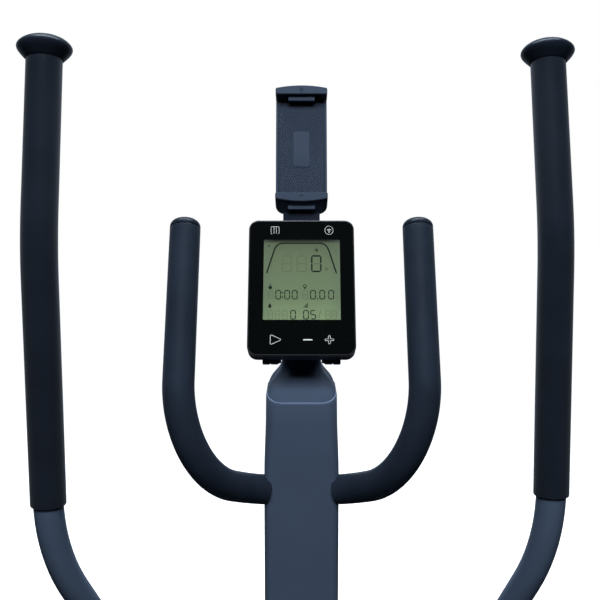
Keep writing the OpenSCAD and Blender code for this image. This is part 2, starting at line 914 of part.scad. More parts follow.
// Ball bearings of the crank axle and the flywheel axle
module drive_bearings() {
    color(zinc) both_sides() {
        cross_rod(plate_in - 2, bearing_w, crank_y, crank_z, 21 - seat, crank_axle_r + running);
        cross_rod(plate_in - 2, bearing_w, flywheel_y, flywheel_z, 16 - seat, fly_axle_r + running);
    }
}

module crank_axle() {
    color(steel) {
        cross_rod(-arm_in - arm_t, 2 * (arm_in + arm_t), crank_y, crank_z, crank_axle_r);
        both_sides() cross_rod(arm_in + arm_t, 0.8, crank_y, crank_z, 9);
    }
}

// Two flat arms on the ends of the crank axle, half a turn apart
module crank_arms() {
    color(steel) for (side = [-1, 1])
        on_side(side) translate([0, crank_y, crank_z])
            rotate([side < 0 ? -crank_rest : 180 - crank_rest, 0, 0]) difference() {
                union() {
                    cross_rod(arm_in, arm_t, 0, 0, 24);
                    cross_rod(arm_in, arm_t, 0, crank_r, 18);
                    across(arm_in, arm_t) translate([-15, 0]) square([30, crank_r]);
                }
                cross_rod(arm_in - 1, arm_t + 2, 0, 0, crank_axle_r + seat);
                cross_rod(arm_in - 1, arm_t + 2, 0, crank_r, 8);
            }
}

// Round plastic discs that cover the crank arms
module crank_discs() {
    color(slate) both_sides() translate([0, crank_y, crank_z]) {
        difference() {
            union() {
                cross_rod(disc_in, disc_t - 2, 0, 0, disc_d / 2);
                cross_rod(disc_out - 2, 2, 0, 0, disc_d / 2 - 5);
            }
            cross_rod(disc_out - 3, 4, 0, 0, disc_d / 2 - 22, 46);
        }
    }
}

// Large belt pulley on the crank axle
module drive_pulley() {
    color(black) difference() {
        union() {
            cross_rod(pulley_x, pulley_w, crank_y, crank_z, pulley_r);
            cross_rod(pulley_x - 6, pulley_w + 8, crank_y, crank_z, 22);
        }
        cross_rod(pulley_x - 10, pulley_w + 20, crank_y, crank_z, crank_axle_r + seat);
        for (a = [0 : 60 : 300])
            cross_rod(pulley_x - 1, pulley_w + 2, crank_y + 82 * cos(a), crank_z + 82 * sin(a), 32);
    }
}

// Cast flywheel with a thick rim
module flywheel() {
    color(steel) difference() {
        cross_rod(flywheel_x, flywheel_t, flywheel_y, flywheel_z, flywheel_d / 2);
        cross_rod(flywheel_x - 1, 6, flywheel_y, flywheel_z, flywheel_d / 2 - 22, 26);
        cross_rod(flywheel_x + flywheel_t - 5, 6, flywheel_y, flywheel_z, flywheel_d / 2 - 22, 26);
        cross_rod(flywheel_x - 1, flywheel_t + 2, flywheel_y, flywheel_z, fly_axle_r + seat);
    }
}

// Flywheel axle with its small belt pulley
module flywheel_axle() {
    color(steel) {
        cross_rod(-plate_in - plate_t - 6, 2 * (plate_in + plate_t + 6), flywheel_y, flywheel_z,
            fly_axle_r);
        cross_rod(pulley_x - 1, pulley_w + 2, flywheel_y, flywheel_z, small_pulley_r);
    }
}

// Ribbed belt around the two pulleys
module drive_belt() {
    thick = 3;
    slack = 0.4;
    color(rubber) across(pulley_x + 1, pulley_w - 2) difference() {
        belt_outline(slack + thick);
        belt_outline(slack);
    }
}

// Outline that hugs both pulleys at a distance
module belt_outline(away) {
    hull() {
        translate([crank_y, crank_z]) circle(r = pulley_r + away, $fn = 96);
        translate([flywheel_y, flywheel_z]) circle(r = small_pulley_r + away, $fn = 32);
    }
}

// Curved arm that holds the brake magnets round the flywheel's rim
module brake_arm() {
    color(black) difference() {
        union() {
            translate([0, flywheel_y, flywheel_z]) rotate([90, 0, 90])
                translate([0, 0, flywheel_x - 3]) rotate([0, 0, -30])
                    rotate_extrude(angle = 100) translate([brake_r, 0])
                        square([brake_t, flywheel_t + 6]);
            cross_rod(flywheel_x - 3, flywheel_t + 6, brake_y, brake_z, 11);
        }
        cross_rod(flywheel_x - 5, flywheel_t + 10, brake_y, brake_z, 4 + running);
    }
    // Row of magnets on the inside of the arm
    color(steel) for (a = [-8 : 19 : 68])
        translate([0, flywheel_y, flywheel_z]) rotate([a, 0, 0])
            translate([flywheel_x, brake_r - 2.5, -8]) cube([flywheel_t, 2.4, 16]);
}

// Small geared motor that sets the magnetic brake
module brake_motor() {
    color(black) {
        translate([plate_in - 25, -149, 258]) cube([25 - seat, 42, 44]);
        cross_rod(plate_in - 31, 7, -128, 280, 13);
    }
}

// ---------------------------------------------------------------- console

// Rounded block in the console's frame, between the depths y0 and y1
module console_block(w, z0, z1, corner, y0, y1) {
    translate([0, y1, (z0 + z1) / 2]) rotate([90, 0, 0])
        linear_extrude(y1 - y0) rounded(w, z1 - z0, corner);
}

module console_back() {
    color(black) on_console() difference() {
        union() {
            console_block(console_w, 0, console_l, console_corner, 8 + seat, 20);
            console_block(console_w - 3, 1.5, console_l - 1.5, console_corner, 19, console_t);
        }
        console_block(console_w - 6, 3, console_l - 3, console_corner - 3, 8, 17);
        for (x = [-1, 1], z = [18, console_l - 18])
            translate([x * 42, console_t + 1, z]) rotate([90, 0, 0]) cylinder(r = 2.2, h = 12);
    }
    // Posts that carry the circuit board
    color(black) on_console() for (x = [-30, 30], z = [30, console_l - 30])
        translate([x, 17.5, z]) rotate([90, 0, 0]) cylinder(r = 3, h = 17.5 - board_y - board_t);
}

module console_bezel() {
    color(black) on_console() difference() {
        console_block(console_w, 0, console_l, console_corner, 0, 8);
        console_block(console_w - 3, 1.5, console_l - 1.5, console_corner - 1.5, -1, 9);
    }
}

module console_glass() {
    color(black) on_console()
        console_block(console_w - 3 - 2 * seat, 1.5 + seat, console_l - 1.5 - seat,
            console_corner - 1.5, 0.3, 3);
}

module console_display() {
    color(display_grey) on_console() console_block(90, 40, 138, 2, 3 + seat, 6);
}

module circuit_board() {
    color(board_green) on_console() console_block(104, 12, console_l - 12, 3, board_y, board_y + board_t);
}

module console_screws() {
    color(zinc) on_console() for (x = [-1, 1], z = [18, console_l - 18])
        translate([x * 42, console_t, z]) rotate([-90, 0, 0]) {
            cylinder(r = 3.6, h = 2);
            translate([0, 0, -9]) cylinder(r = 2, h = 9);
        }
}

// ---------------------------------------------------------------- phone holder

// Arm on the back of the console that carries the phone holder's hinge
module holder_neck() {
    color(slate) {
        on_console() translate([-21.5, 0, 0]) rotate([90, 0, 90]) linear_extrude(43) polygon([
            [console_t + seat, 102], [console_t + seat, console_l - 1], [17.7, 177], [27, 182.9],
            [console_t + 12, 166], [console_t + 12, 106]
        ]);
    }
}

// Fixed back of the phone holder with the lower jaw
module holder_back() {
    plate_l = holder_l - jaw_h - gap - 8;
    color(slate) on_holder() difference() {
        union() {
            translate([0, jaw_depth + back_t, 8 + plate_l / 2]) rotate([90, 0, 0])
                linear_extrude(back_t) rounded(holder_w, plate_l, 5);
            translate([-holder_w / 2, 0, 0]) rotate([90, 0, 90]) linear_extrude(holder_w)
                polygon([[0, 12], [0, 21], [jaw_depth + 1, 21], [jaw_depth + back_t, 6], [14, 0]]);
        }
        translate([-21, jaw_depth + 4, 40]) cube([42, 4, holder_l - 40]);
    }
}

// Rubber pad between the jaws
module holder_pad() {
    color(rubber) on_holder() translate([0, jaw_depth - seat, holder_l / 2 + 5]) rotate([90, 0, 0])
        linear_extrude(1.2) rounded(holder_w - 8, holder_l - 46, 2);
}

// Upper jaw that slides up against a spring
module upper_jaw() {
    color(slate) on_holder() {
        difference() {
            translate([0, 0, holder_l - jaw_h]) union() {
                translate([-holder_w / 2, 0, 0]) cube([holder_w, jaw_depth + back_t, jaw_h - 3]);
                translate([12 - holder_w / 2, 0, 0]) cube([holder_w - 24, jaw_depth + back_t, jaw_h]);
            }
            translate([-16, 3, holder_l - jaw_h - 1]) cube([32, jaw_depth - 4, 3]);
        }
        translate([-20, jaw_depth + 4.4, 78]) cube([40, 3.2, holder_l - jaw_h - 78]);
    }
}

base_beam();
drive_frame();
cross_feet();
front_end_caps();
rear_end_caps();
frame_bolts();
mast_tube();
mast_cover_rear();
mast_cover_front();
mast_head();
mast_boot();
pivot_axle();
axle_caps();
fixed_handlebar();
fixed_grip_left();
fixed_grip_right();
fixed_grip_caps();
housing_left();
housing_right();
housing_screws();
drive_bearings();
drive_belt();
brake_arm();
brake_motor();
console_back();
console_bezel();
console_glass();
console_display();
circuit_board();
console_screws();
holder_neck();
holder_back();
holder_pad();
upper_jaw();
lever_arm_left();
handlebar_left();
grip_left();
grip_cap_left();
handlebar_bolts_left();
lever_arm_right();
handlebar_right();
grip_right();
grip_cap_right();
handlebar_bolts_right();
pedal_bar_left();
pedal_left();
pedal_pad_left();
crank_pin_left();
pedal_bar_right();
pedal_right();
pedal_pad_right();
crank_pin_right();
crank_axle();
drive_pulley();
crank_arms();
crank_discs();
flywheel();
flywheel_axle();
transport_wheel_left();
transport_wheel_right();
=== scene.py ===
"""Looks of the elliptical trainer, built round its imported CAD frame.

Lengths in this file are in millimetres and become metres as a mesh is made.
"""
import math

import bmesh
import bpy
from mathutils import Matrix, Vector


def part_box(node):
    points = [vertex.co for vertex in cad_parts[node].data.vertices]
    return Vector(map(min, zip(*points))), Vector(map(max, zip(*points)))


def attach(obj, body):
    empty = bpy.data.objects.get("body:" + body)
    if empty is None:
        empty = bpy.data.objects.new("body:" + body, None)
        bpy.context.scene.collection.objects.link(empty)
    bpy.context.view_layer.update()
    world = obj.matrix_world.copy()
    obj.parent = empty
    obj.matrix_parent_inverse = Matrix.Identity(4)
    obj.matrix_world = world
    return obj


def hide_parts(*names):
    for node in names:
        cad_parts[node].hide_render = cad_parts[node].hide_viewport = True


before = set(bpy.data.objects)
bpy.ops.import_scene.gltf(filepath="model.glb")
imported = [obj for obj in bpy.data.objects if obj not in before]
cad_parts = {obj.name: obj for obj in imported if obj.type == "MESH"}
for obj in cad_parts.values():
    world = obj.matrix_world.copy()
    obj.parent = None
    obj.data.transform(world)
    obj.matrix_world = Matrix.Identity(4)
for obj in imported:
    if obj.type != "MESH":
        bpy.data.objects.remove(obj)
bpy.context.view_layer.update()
scene = bpy.context.scene
MM = 0.001
STILL = Matrix.Identity(4)


# ---------------------------------------------------------------- places

def move(x, y, z):
    return Matrix.Translation((x, y, z))


def turn(degrees, axis="X"):
    return Matrix.Rotation(math.radians(degrees), 4, axis)


def on_side(side):
    """Mirrors a right-hand piece to the left when side is -1."""
    return Matrix.Scale(side, 4, (1, 0, 0))


SIDES = ((-1, "left"), (1, "right"))
MAST_Y, MAST_FOOT, MAST_TOP, MAST_LEAN = 509, 80, 1220, 2.3
PIVOT_Z = 875
PIVOT_Y = MAST_Y - (PIVOT_Z - MAST_FOOT) * math.tan(math.radians(MAST_LEAN))
ARM_LENGTH = 545
ARM_LEAN = 1.4
REST_SWING = 1.65
CRANK_Y, CRANK_Z, CRANK_R = -390, 290, 145
FLYWHEEL_Y, FLYWHEEL_Z = -205, 228
CONSOLE_TILT, HOLDER_TILT = 23, 13.7
ON_MAST = move(0, MAST_Y, MAST_FOOT) @ turn(MAST_LEAN)
ON_CONSOLE = move(0, 396.3, 1276) @ turn(-CONSOLE_TILT)
ON_HOLDER = move(0, 465, 1435) @ turn(-HOLDER_TILT)


def on_lever(side):
    """Place of a lever's piece that is drawn on the right in the lever's middle position."""
    pivot = move(0, PIVOT_Y, PIVOT_Z)
    return on_side(side) @ pivot @ turn(-side * REST_SWING) @ pivot.inverted()


def foot_of(side, swing=REST_SWING):
    """Depth and height (y, z) of the pivot at the lever's foot."""
    angle = math.radians(ARM_LEAN - side * swing)
    return PIVOT_Y + ARM_LENGTH * math.sin(angle), PIVOT_Z - ARM_LENGTH * math.cos(angle)


def bar_tilt(side):
    """Tilt of a pedal bar in degrees, from its crank pin up to the lever's foot."""
    middle_y, middle_z = foot_of(side, 0)
    crank_rest = math.asin(
        ARM_LENGTH * math.sin(math.radians(REST_SWING)) / CRANK_R
        - (middle_z - CRANK_Z) / (middle_y - CRANK_Y)
    )
    pin_y = CRANK_Y - side * CRANK_R * math.sin(crank_rest)
    pin_z = CRANK_Z - side * CRANK_R * math.cos(crank_rest)
    y, z = foot_of(side)
    return math.degrees(math.atan2(z - pin_z, y - pin_y))


def lean_of(low, high):
    """Lean in degrees, away from the user, of the line between two points."""
    return math.degrees(math.atan2(high[1] - low[1], high[2] - low[2]))


def on_bar(side):
    """Place of a pedal bar's piece: the front pivot is the origin and the bar runs along -Y."""
    y, z = foot_of(side)
    return on_side(side) @ move(0, y, z) @ turn(bar_tilt(side))


# ---------------------------------------------------------------- shapes
# A shape is a pair: its points, and its faces as lists of point numbers.

def join(*shapes):
    points, faces = [], []
    for more, rings in shapes:
        start = len(points)
        points += more
        faces += [[start + i for i in face] for face in rings]
    return points, faces


def placed(shape, place):
    return [place @ Vector(p) for p in shape[0]], shape[1]


def loft(rings):
    """Skin over rings with the same number of points, closed at both ends."""
    count = len(rings[0])
    points = [Vector(p) for ring in rings for p in ring]
    last = (len(rings) - 1) * count
    faces = []
    for a in range(0, last, count):
        for s in range(count):
            t = (s + 1) % count
            faces.append([a + s, a + t, a + count + t, a + count + s])
    faces.append(list(range(count))[::-1])
    faces.append([last + s for s in range(count)])
    return points, faces


def revolve(profile, steps):
    """Turned solid about Z from points (radius, height), the first and last of them on the axis."""
    rings = []
    for radius, z in profile:
        r = max(radius, 0.01)
        rings.append([
            (r * math.cos(2 * math.pi * s / steps), r * math.sin(2 * math.pi * s / steps), z)
            for s in range(steps)
        ])
    return loft(rings)


def corner_arc(a, b, c, radius, step):
    """Points of the arc that rounds corner b of the path a, b, c."""
    u, w = (b - a).normalized(), (c - b).normalized()
    angle = u.angle(w)
    start = b - u * radius * math.tan(angle / 2)
    middle = b + (w - u).normalized() * radius / math.cos(angle / 2)
    steps = max(2, math.ceil(math.degrees(angle) / step))
    return [
        middle + (start - middle) * math.cos(k * angle / steps)
        + u * radius * math.sin(k * angle / steps)
        for k in range(steps + 1)
    ]


def rounded_path(corners, radii, step=3.0):
    corners = [Vector(p) for p in corners]
    path = [corners[0]]
    for i in range(1, len(corners) - 1):
        path += corner_arc(corners[i - 1], corners[i], corners[i + 1], radii[i], step)
    return path + [corners[-1]]


def spread(path, gap):
    """The path with points added so that none of its steps is longer than gap."""
    dense = [path[0]]
    for a, b in zip(path, path[1:]):
        parts = max(1, math.ceil((b - a).length / gap))
        dense += [a.lerp(b, k / parts) for k in range(1, parts + 1)]
    return dense


def lengths(path):
    total = [0.0]
    for a, b in zip(path, path[1:]):
        total.append(total[-1] + (b - a).length)
    return total


def tube(path, radii, aside, sides):
    """Round bar along the path, with one radius for each point; aside is a way the path never runs."""
    rings = []
    for k, point in enumerate(path):
        ahead = (path[min(k + 1, len(path) - 1)] - path[max(k - 1, 0)]).normalized()
        across = ahead.cross(Vector(aside)).normalized()
        up = ahead.cross(across)
        rings.append([
            point + radii[k] * (across * math.cos(2 * math.pi * s / sides)
                                + up * math.sin(2 * math.pi * s / sides))
            for s in range(sides)
        ])
    return loft(rings)


def sleeve(path, radius, inner, lip, aside, sides):
    """Foam sleeve: a bar whose two ends are rounded over a lip and close on the inner radius."""
    run = lengths(path)
    total = run[-1]
    ends = [(0.0, inner), (0.05, radius - lip)]
    ends += [(lip * (1 - math.cos(a)), radius - lip * (1 - math.sin(a)))
             for a in (math.radians(v) for v in (22, 45, 68, 90))]
    marks = sorted({s for s, _ in ends} | {total - s for s, _ in ends})
    stations = [(s, p) for s, p in zip(run, path) if lip + 1 < s < total - lip - 1]
    for s in marks:
        k = max(i for i in range(len(run)) if run[i] <= s + 1e-9)
        k = min(k, len(path) - 2)
        share = (s - run[k]) / (run[k + 1] - run[k])
        stations.append((s, path[k].lerp(path[k + 1], share)))
    stations.sort(key=lambda item: item[0])
    heights = dict((round(s, 6), r) for s, r in ends)
    heights.update((round(total - s, 6), r) for s, r in ends)
    radii = [heights.get(round(s, 6), radius) for s, _ in stations]
    return tube([p for _, p in stations], radii, aside, sides)


def outline(width, depth, user, front, steps, seam=0.0):
    """Rounded rectangle in X and Y; user and front are the (x, y) radii of the corners on each side.

    A seam above 0 cuts a small groove of that depth in the middle of both side faces.
    """
    w, d = width / 2, depth / 2
    ring = []
    corners = [(1, -1, user, -90), (1, 1, front, 0), (-1, 1, front, 90), (-1, -1, user, 180)]
    for i, (sx, sy, (rx, ry), start) in enumerate(corners):
        for k in range(steps + 1):
            a = math.radians(start + 90 * k / steps)
            ring.append((sx * (w - rx) + rx * math.cos(a), sy * (d - ry) + ry * math.sin(a)))
        if seam > 0 and i in (0, 2):
            way = 1 if i == 0 else -1
            ring += [(way * x, way * y) for x, y in
                     ((w, -seam), (w - seam, -seam * 0.4), (w - seam, seam * 0.4), (w, seam))]
    return ring


def slab(width, length, corner, y0, y1, z0=0.0, edge0=1.0, edge1=1.0, steps=8, x0=0.0):
    """Rounded plate in X and Z, between the depths y0 and y1, with edges rounded by edge0 and edge1."""
    turns = [math.radians(angle) for angle in (0, 30, 60, 90)]
    levels = [(y0 + edge0 * (1 - math.cos(a)), edge0 * (1 - math.sin(a))) for a in turns]
    levels += [(y1 - edge1 * (1 - math.cos(a)), edge1 * (1 - math.sin(a))) for a in turns[::-1]]
    rings = []
    for y, inset in levels:
        r = max(corner - inset, 0.3)
        flat = outline(width - 2 * inset, length - 2 * inset, (r, r), (r, r), steps)
        rings.append([(x0 + x, y, z0 + length / 2 + z) for x, z in flat])
    return loft(rings)


def prism(ring, y0, y1):
    """Plate with the outline of ring, points (x, z), between the depths y0 and y1."""
    return loft([[(x, y0, z) for x, z in ring], [(x, y1, z) for x, z in ring]])


def strokes(points, width, y0, y1, closed=False):
    """Line of even width along the points (x, z), as one plate."""
    pts = [Vector(p) for p in points]
    count = len(pts)
    left, right = [], []
    for i, p in enumerate(pts):
        before = pts[i - 1] if (i or closed) else p
        after = pts[(i + 1) % count] if (i < count - 1 or closed) else p
        u = (p - before).normalized() if (p - before).length else (after - p).normalized()
        v = (after - p).normalized() if (after - p).length else u
        side = Vector((-(u + v).y, (u + v).x)).normalized()
        reach = width / 2 / max(side.dot(Vector((-u.y, u.x))), 0.4)
        left.append(p + side * reach)
        right.append(p - side * reach)
    shapes = []
    for i in range(count if closed else count - 1):
        j = (i + 1) % count
        shapes.append(prism([left[i], right[i], right[j], left[j]], y0, y1))
    return join(*shapes)


def arc(x, z, radius, start, end, steps):
    return [(x + radius * math.cos(math.radians(start + (end - start) * k / steps)),
             z + radius * math.sin(math.radians(start + (end - start) * k / steps)))
            for k in range(steps + 1)]


def circle(x, z, radius, steps):
    return arc(x, z, radius, 0, 360, steps)[:-1]


def block(low, high, edge=0.6):
    """Box with rounded edges between two corners."""
    (x0, y0, z0), (x1, y1, z1) = low, high
    r = edge * 1.01
    rings = []
    for z, inset in ((z0, edge), (z0 + edge * 0.3, edge * 0.3), (z0 + edge, 0),
                     (z1 - edge, 0), (z1 - edge * 0.3, edge * 0.3), (z1, edge)):
        flat = outline(x1 - x0 - 2 * inset, y1 - y0 - 2 * inset, (r, r), (r, r), 3)
        rings.append([(x + (x0 + x1) / 2, y + (y0 + y1) / 2, z) for x, y in flat])
    return loft(rings)


# ---------------------------------------------------------------- materials

def node_of(tree, kind, **inputs):
    node = tree.nodes.new(kind)
    for name, value in inputs.items():
        node.inputs[name.replace("_", " ")].default_value = value
    return node


def coordinates(tree, stretch):
    place = tree.nodes.new("ShaderNodeTexCoord")
    mapping = tree.nodes.new("ShaderNodeMapping")
    mapping.inputs["Scale"].default_value = stretch
    tree.links.new(place.outputs["Object"], mapping.inputs["Vector"])
    return mapping.outputs["Vector"]


def noise(tree, vector, scale, detail=3.0):
    node = node_of(tree, "ShaderNodeTexNoise", Scale=scale, Detail=detail, Roughness=0.6)
    tree.links.new(vector, node.inputs["Vector"])
    return node.outputs["Fac"]


def to_range(tree, value, low, high, low_in=0.3, high_in=0.7):
    node = tree.nodes.new("ShaderNodeMapRange")
    for name, number in (("From Min", low_in), ("From Max", high_in), ("To Min", low), ("To Max", high)):
        node.inputs[name].default_value = number
    tree.links.new(value, node.inputs["Value"])
    return node.outputs["Result"]


def tint(tree, factor, first, second):
    node = tree.nodes.new("ShaderNodeMix")
    node.data_type = "RGBA"
    node.inputs["A"].default_value = (*first, 1)
    node.inputs["B"].default_value = (*second, 1)
    tree.links.new(factor, node.inputs["Factor"])
    return node.outputs["Result"]


def bump(tree, height, strength, distance, normal=None):
    node = node_of(tree, "ShaderNodeBump", Strength=strength, Distance=distance)
    tree.links.new(height, node.inputs["Height"])
    if normal is not None:
        tree.links.new(normal, node.inputs["Normal"])
    return node.outputs["Normal"]


def material(name, colour, rough, metal=0.0, vary=0.08, mottle=9.0, grain=1400.0, depth=0.00004,
             coat=0.0, coat_rough=0.1, sheen=0.0, specular=0.5, stretch=(1, 1, 1), pores=0.0):
    """Base for every finish: mottled colour, uneven roughness and fine grain from noise.

    depth is the height of the grain in metres, and pores adds small round pits.
    """
    made = bpy.data.materials.new(name)
    made.use_nodes = True
    tree = made.node_tree
    shader = tree.nodes["Principled BSDF"]
    shader.inputs["Metallic"].default_value = metal
    shader.inputs["Coat Weight"].default_value = coat
    shader.inputs["Coat Roughness"].default_value = coat_rough
    shader.inputs["Sheen Weight"].default_value = sheen
    shader.inputs["Specular IOR Level"].default_value = specular
    vector = coordinates(tree, stretch)
    blotch = noise(tree, vector, mottle)
    fine = noise(tree, vector, grain, 2.0)
    colours = tint(tree, to_range(tree, blotch, 0, 1), [c * (1 - vary) for c in colour],
                   [c * (1 + vary) for c in colour])
    tree.links.new(colours, shader.inputs["Base Color"])
    tree.links.new(to_range(tree, blotch, rough * 0.88, min(1, rough * 1.12)), shader.inputs["Roughness"])
    normal = bump(tree, fine, 0.5, depth)
    if pores:
        cells = node_of(tree, "ShaderNodeTexVoronoi", Scale=pores)
        tree.links.new(vector, cells.inputs["Vector"])
        pits = to_range(tree, cells.outputs["Distance"], 0, 1, 0.0, 0.45)
        normal = bump(tree, pits, 0.35, depth * 1.5, normal)
    tree.links.new(normal, shader.inputs["Normal"])
    return made


def display_material_with_painted_shade():
    """Grey-green liquid crystal with painted shade: a painted shadow along its top edge and at its sides, and
    painted light that makes it lighter towards the bottom.
    """
    made = bpy.data.materials.new("lcd_glass_painted_shade")
    made.use_nodes = True
    tree = made.node_tree
    shader = tree.nodes["Principled BSDF"]
    shader.inputs["Roughness"].default_value = 0.3
    shader.inputs["Coat Weight"].default_value = 0.3
    shader.inputs["Coat Roughness"].default_value = 0.06
    shader.inputs["Specular IOR Level"].default_value = 0.2
    place = tree.nodes.new("ShaderNodeTexCoord")
    axes = tree.nodes.new("ShaderNodeSeparateXYZ")
    tree.links.new(place.outputs["Object"], axes.inputs["Vector"])
    low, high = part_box("console_display")
    up = to_range(tree, axes.outputs["Z"], 0, 1, low.z, high.z)
    # Painted shade and light: the ramp darkens towards a painted shadow along the top edge and lightens
    # towards the bottom
    ramp = tree.nodes.new("ShaderNodeValToRGB")
    painted_shade_stops = ramp.color_ramp.elements
    painted_shade_stops[0].position, painted_shade_stops[0].color = 0.0, (0.125, 0.175, 0.095, 1)
    painted_shade_stops[1].position, painted_shade_stops[1].color = 1.0, (0.004, 0.005, 0.004, 1)
    for at, colour in ((0.3, (0.08, 0.114, 0.062, 1)), (0.8, (0.064, 0.088, 0.050, 1)),
                       (0.945, (0.052, 0.068, 0.041, 1)), (0.975, (0.012, 0.014, 0.010, 1))):
        painted_shade_stops.new(at).color = colour
    tree.links.new(up, ramp.inputs["Fac"])
    # Painted shade towards the left and right edges of the display
    across = tree.nodes.new("ShaderNodeMath")
    across.operation = "ABSOLUTE"
    tree.links.new(axes.outputs["X"], across.inputs[0])
    side = to_range(tree, across.outputs["Value"], 0, 0.35, 0.030, 0.0445)
    edge_shade_mix = tree.nodes.new("ShaderNodeMix")
    edge_shade_mix.data_type = "RGBA"
    edge_shade_mix.inputs["B"].default_value = (0.06, 0.08, 0.062, 1)
    tree.links.new(side, edge_shade_mix.inputs["Factor"])
    tree.links.new(ramp.outputs["Color"], edge_shade_mix.inputs["A"])
    tree.links.new(edge_shade_mix.outputs["Result"], shader.inputs["Base Color"])
    return made


def shade(colour, factor):
    return [factor * c for c in colour]


def slate_plastic(name, factor, rough, specular, depth=0.00002):
    """Smooth moulded plastic in slate; its lighter and darker copies stand in for painted highlight and
    painted shade.
    """
    return material(name, shade(SLATE, factor), rough, grain=1500, depth=depth, vary=0.04, specular=specular)


def foam(name, factor, specular, sheen=0.0):
    """Foam in navy, with fine pores; a factor above 1 makes a lighter copy, used as painted light on the
    fixed sleeves.
    """
    return material(name, shade(NAVY, factor), 0.42, grain=2600, depth=0.00004, vary=0.12, mottle=22,
                    sheen=sheen, pores=2200, specular=specular)


SLATE = (0.034, 0.050, 0.081)
NAVY = (0.0062, 0.0092, 0.0153)
SLATE_PLASTIC = slate_plastic("slate_plastic", 1.04, 0.34, 0.32)
# Slate four times lighter: a painted highlight for the bead along the mast's top edge
RIM_PAINTED_HIGHLIGHT = slate_plastic("slate_rim_painted_highlight", 4.0, 0.25, 0.5, depth=0.00001)
NECK_PLASTIC = slate_plastic("slate_neck", 1.0, 0.5, 0.14)
# Slate darkened to three quarters: painted shade that offsets the stronger light falling on the holder
HOLDER_PAINTED_SHADE_PLASTIC = slate_plastic("slate_holder_painted_shade", 0.74, 0.4, 0.3)
# Slate darkened to a quarter: painted shade on the holder's neck under the lower jaw
HOLDER_NECK_PAINTED_SHADE = slate_plastic("holder_neck_slate_painted_shade", 0.24, 0.45, 0.25)
SLATE_PAINT = material("slate_paint", shade(SLATE, 1.12), 0.36, grain=700, depth=0.00003, vary=0.05,
                       specular=0.35)
FOAM = foam("navy_foam", 1.0, 0.42, sheen=0.04)
# Navy foam made half again as light: painted light on the fixed handlebar's leaning sleeves
SLEEVE_FOAM_PAINTED_LIGHT = foam("sleeve_foam_painted_light", 1.55, 0.35)
CAP_RUBBER = material("navy_soft_plastic", NAVY, 0.36, grain=1800, depth=0.00002, vary=0.06, specular=0.3)
BLACK_PLASTIC = material("black_plastic", (0.012, 0.013, 0.015), 0.5, grain=1300, depth=0.00005)
GLOSS_BLACK = material("gloss_black", (0.0012, 0.0016, 0.0015), 0.08, grain=300, depth=0.000002, coat=0.3,
                       coat_rough=0.03, vary=0.03)
BEZEL = material("satin_black_edge", (0.05, 0.053, 0.055), 0.25, metal=0.6, grain=1200, depth=0.00001)
RUBBER = material("black_rubber", (0.016, 0.017, 0.019), 0.75, grain=900, depth=0.00008, vary=0.15)
STEEL = material("machined_steel", (0.52, 0.53, 0.55), 0.3, metal=1.0, grain=500, depth=0.00002,
                 stretch=(1, 8, 8))
ZINC = material("zinc_plate", (0.55, 0.55, 0.53), 0.34, metal=1.0, grain=700, depth=0.00003, mottle=120)
IRON = material("cast_iron", (0.12, 0.12, 0.125), 0.5, metal=0.8, grain=600, depth=0.00012)
BOARD = material("circuit_green", (0.02, 0.12, 0.05), 0.4, grain=500)
# Display finish with a painted shadow along its top edge and sides
LCD = display_material_with_painted_shade()
LCD_DARK = material("lcd_dark", (0.005, 0.007, 0.006), 0.5, vary=0.1, specular=0.2)
LCD_FAINT = material("lcd_faint", (0.058, 0.080, 0.046), 0.5, vary=0.06, specular=0.2)
PRINT = material("pale_print", (0.42, 0.45, 0.45), 0.5, vary=0.05)
# Holder rubber about twice as light: a painted highlight on the ridge crests
KNURL_PAINTED_HIGHLIGHT = material("holder_ridges_painted_highlight", (0.031, 0.044, 0.070), 0.5, grain=1500, depth=0.00002, specular=0.3)
PAD = material("holder_rubber", (0.0145, 0.0208, 0.0335), 0.6, grain=1500, depth=0.00003, specular=0.25)


# ---------------------------------------------------------------- pieces

def piece(name, shape, body, finish, place=STILL, stands_for=(), sharp=35):
    """Makes a shape into an object that rides on a body and takes the given finish."""
    mesh = bpy.data.meshes.new(name)
    mesh.from_pydata([tuple((place @ Vector(p)) * MM) for p in shape[0]], [], shape[1])
    edit = bmesh.new()
    edit.from_mesh(mesh)
    bmesh.ops.remove_doubles(edit, verts=edit.verts, dist=1e-7)
    bmesh.ops.recalc_face_normals(edit, faces=edit.faces)
    edit.to_mesh(mesh)
    edit.free()
    mesh.polygons.foreach_set("use_smooth", [True] * len(mesh.polygons))
    mesh.set_sharp_from_angle(angle=math.radians(sharp))
    made = bpy.data.objects.new(name, mesh)
    scene.collection.objects.link(made)
    made.data.materials.append(finish)
    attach(made, body)
    if stands_for:
        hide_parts(*stands_for)
    return made


def dress(nodes, finish, width):
    """Gives CAD nodes their finish and rounds their sharp edges by width."""
    for node in nodes.split():
        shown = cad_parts[node]
        shown.data.materials.clear()
        shown.data.materials.append(finish)
        shown.data.polygons.foreach_set("use_smooth", [True] * len(shown.data.polygons))
        weld = shown.modifiers.new("weld", "WELD")
        weld.merge_threshold = 0.00001
        flat = shown.modifiers.new("flat", "DECIMATE")
        flat.decimate_type = "DISSOLVE"
        flat.angle_limit = math.radians(0.5)
        edge = shown.modifiers.new("edge", "BEVEL")
        edge.width = width * MM
        edge.segments = 2
        edge.limit_method = "ANGLE"
        edge.angle_limit = math.radians(35)
        edge.harden_normals = True


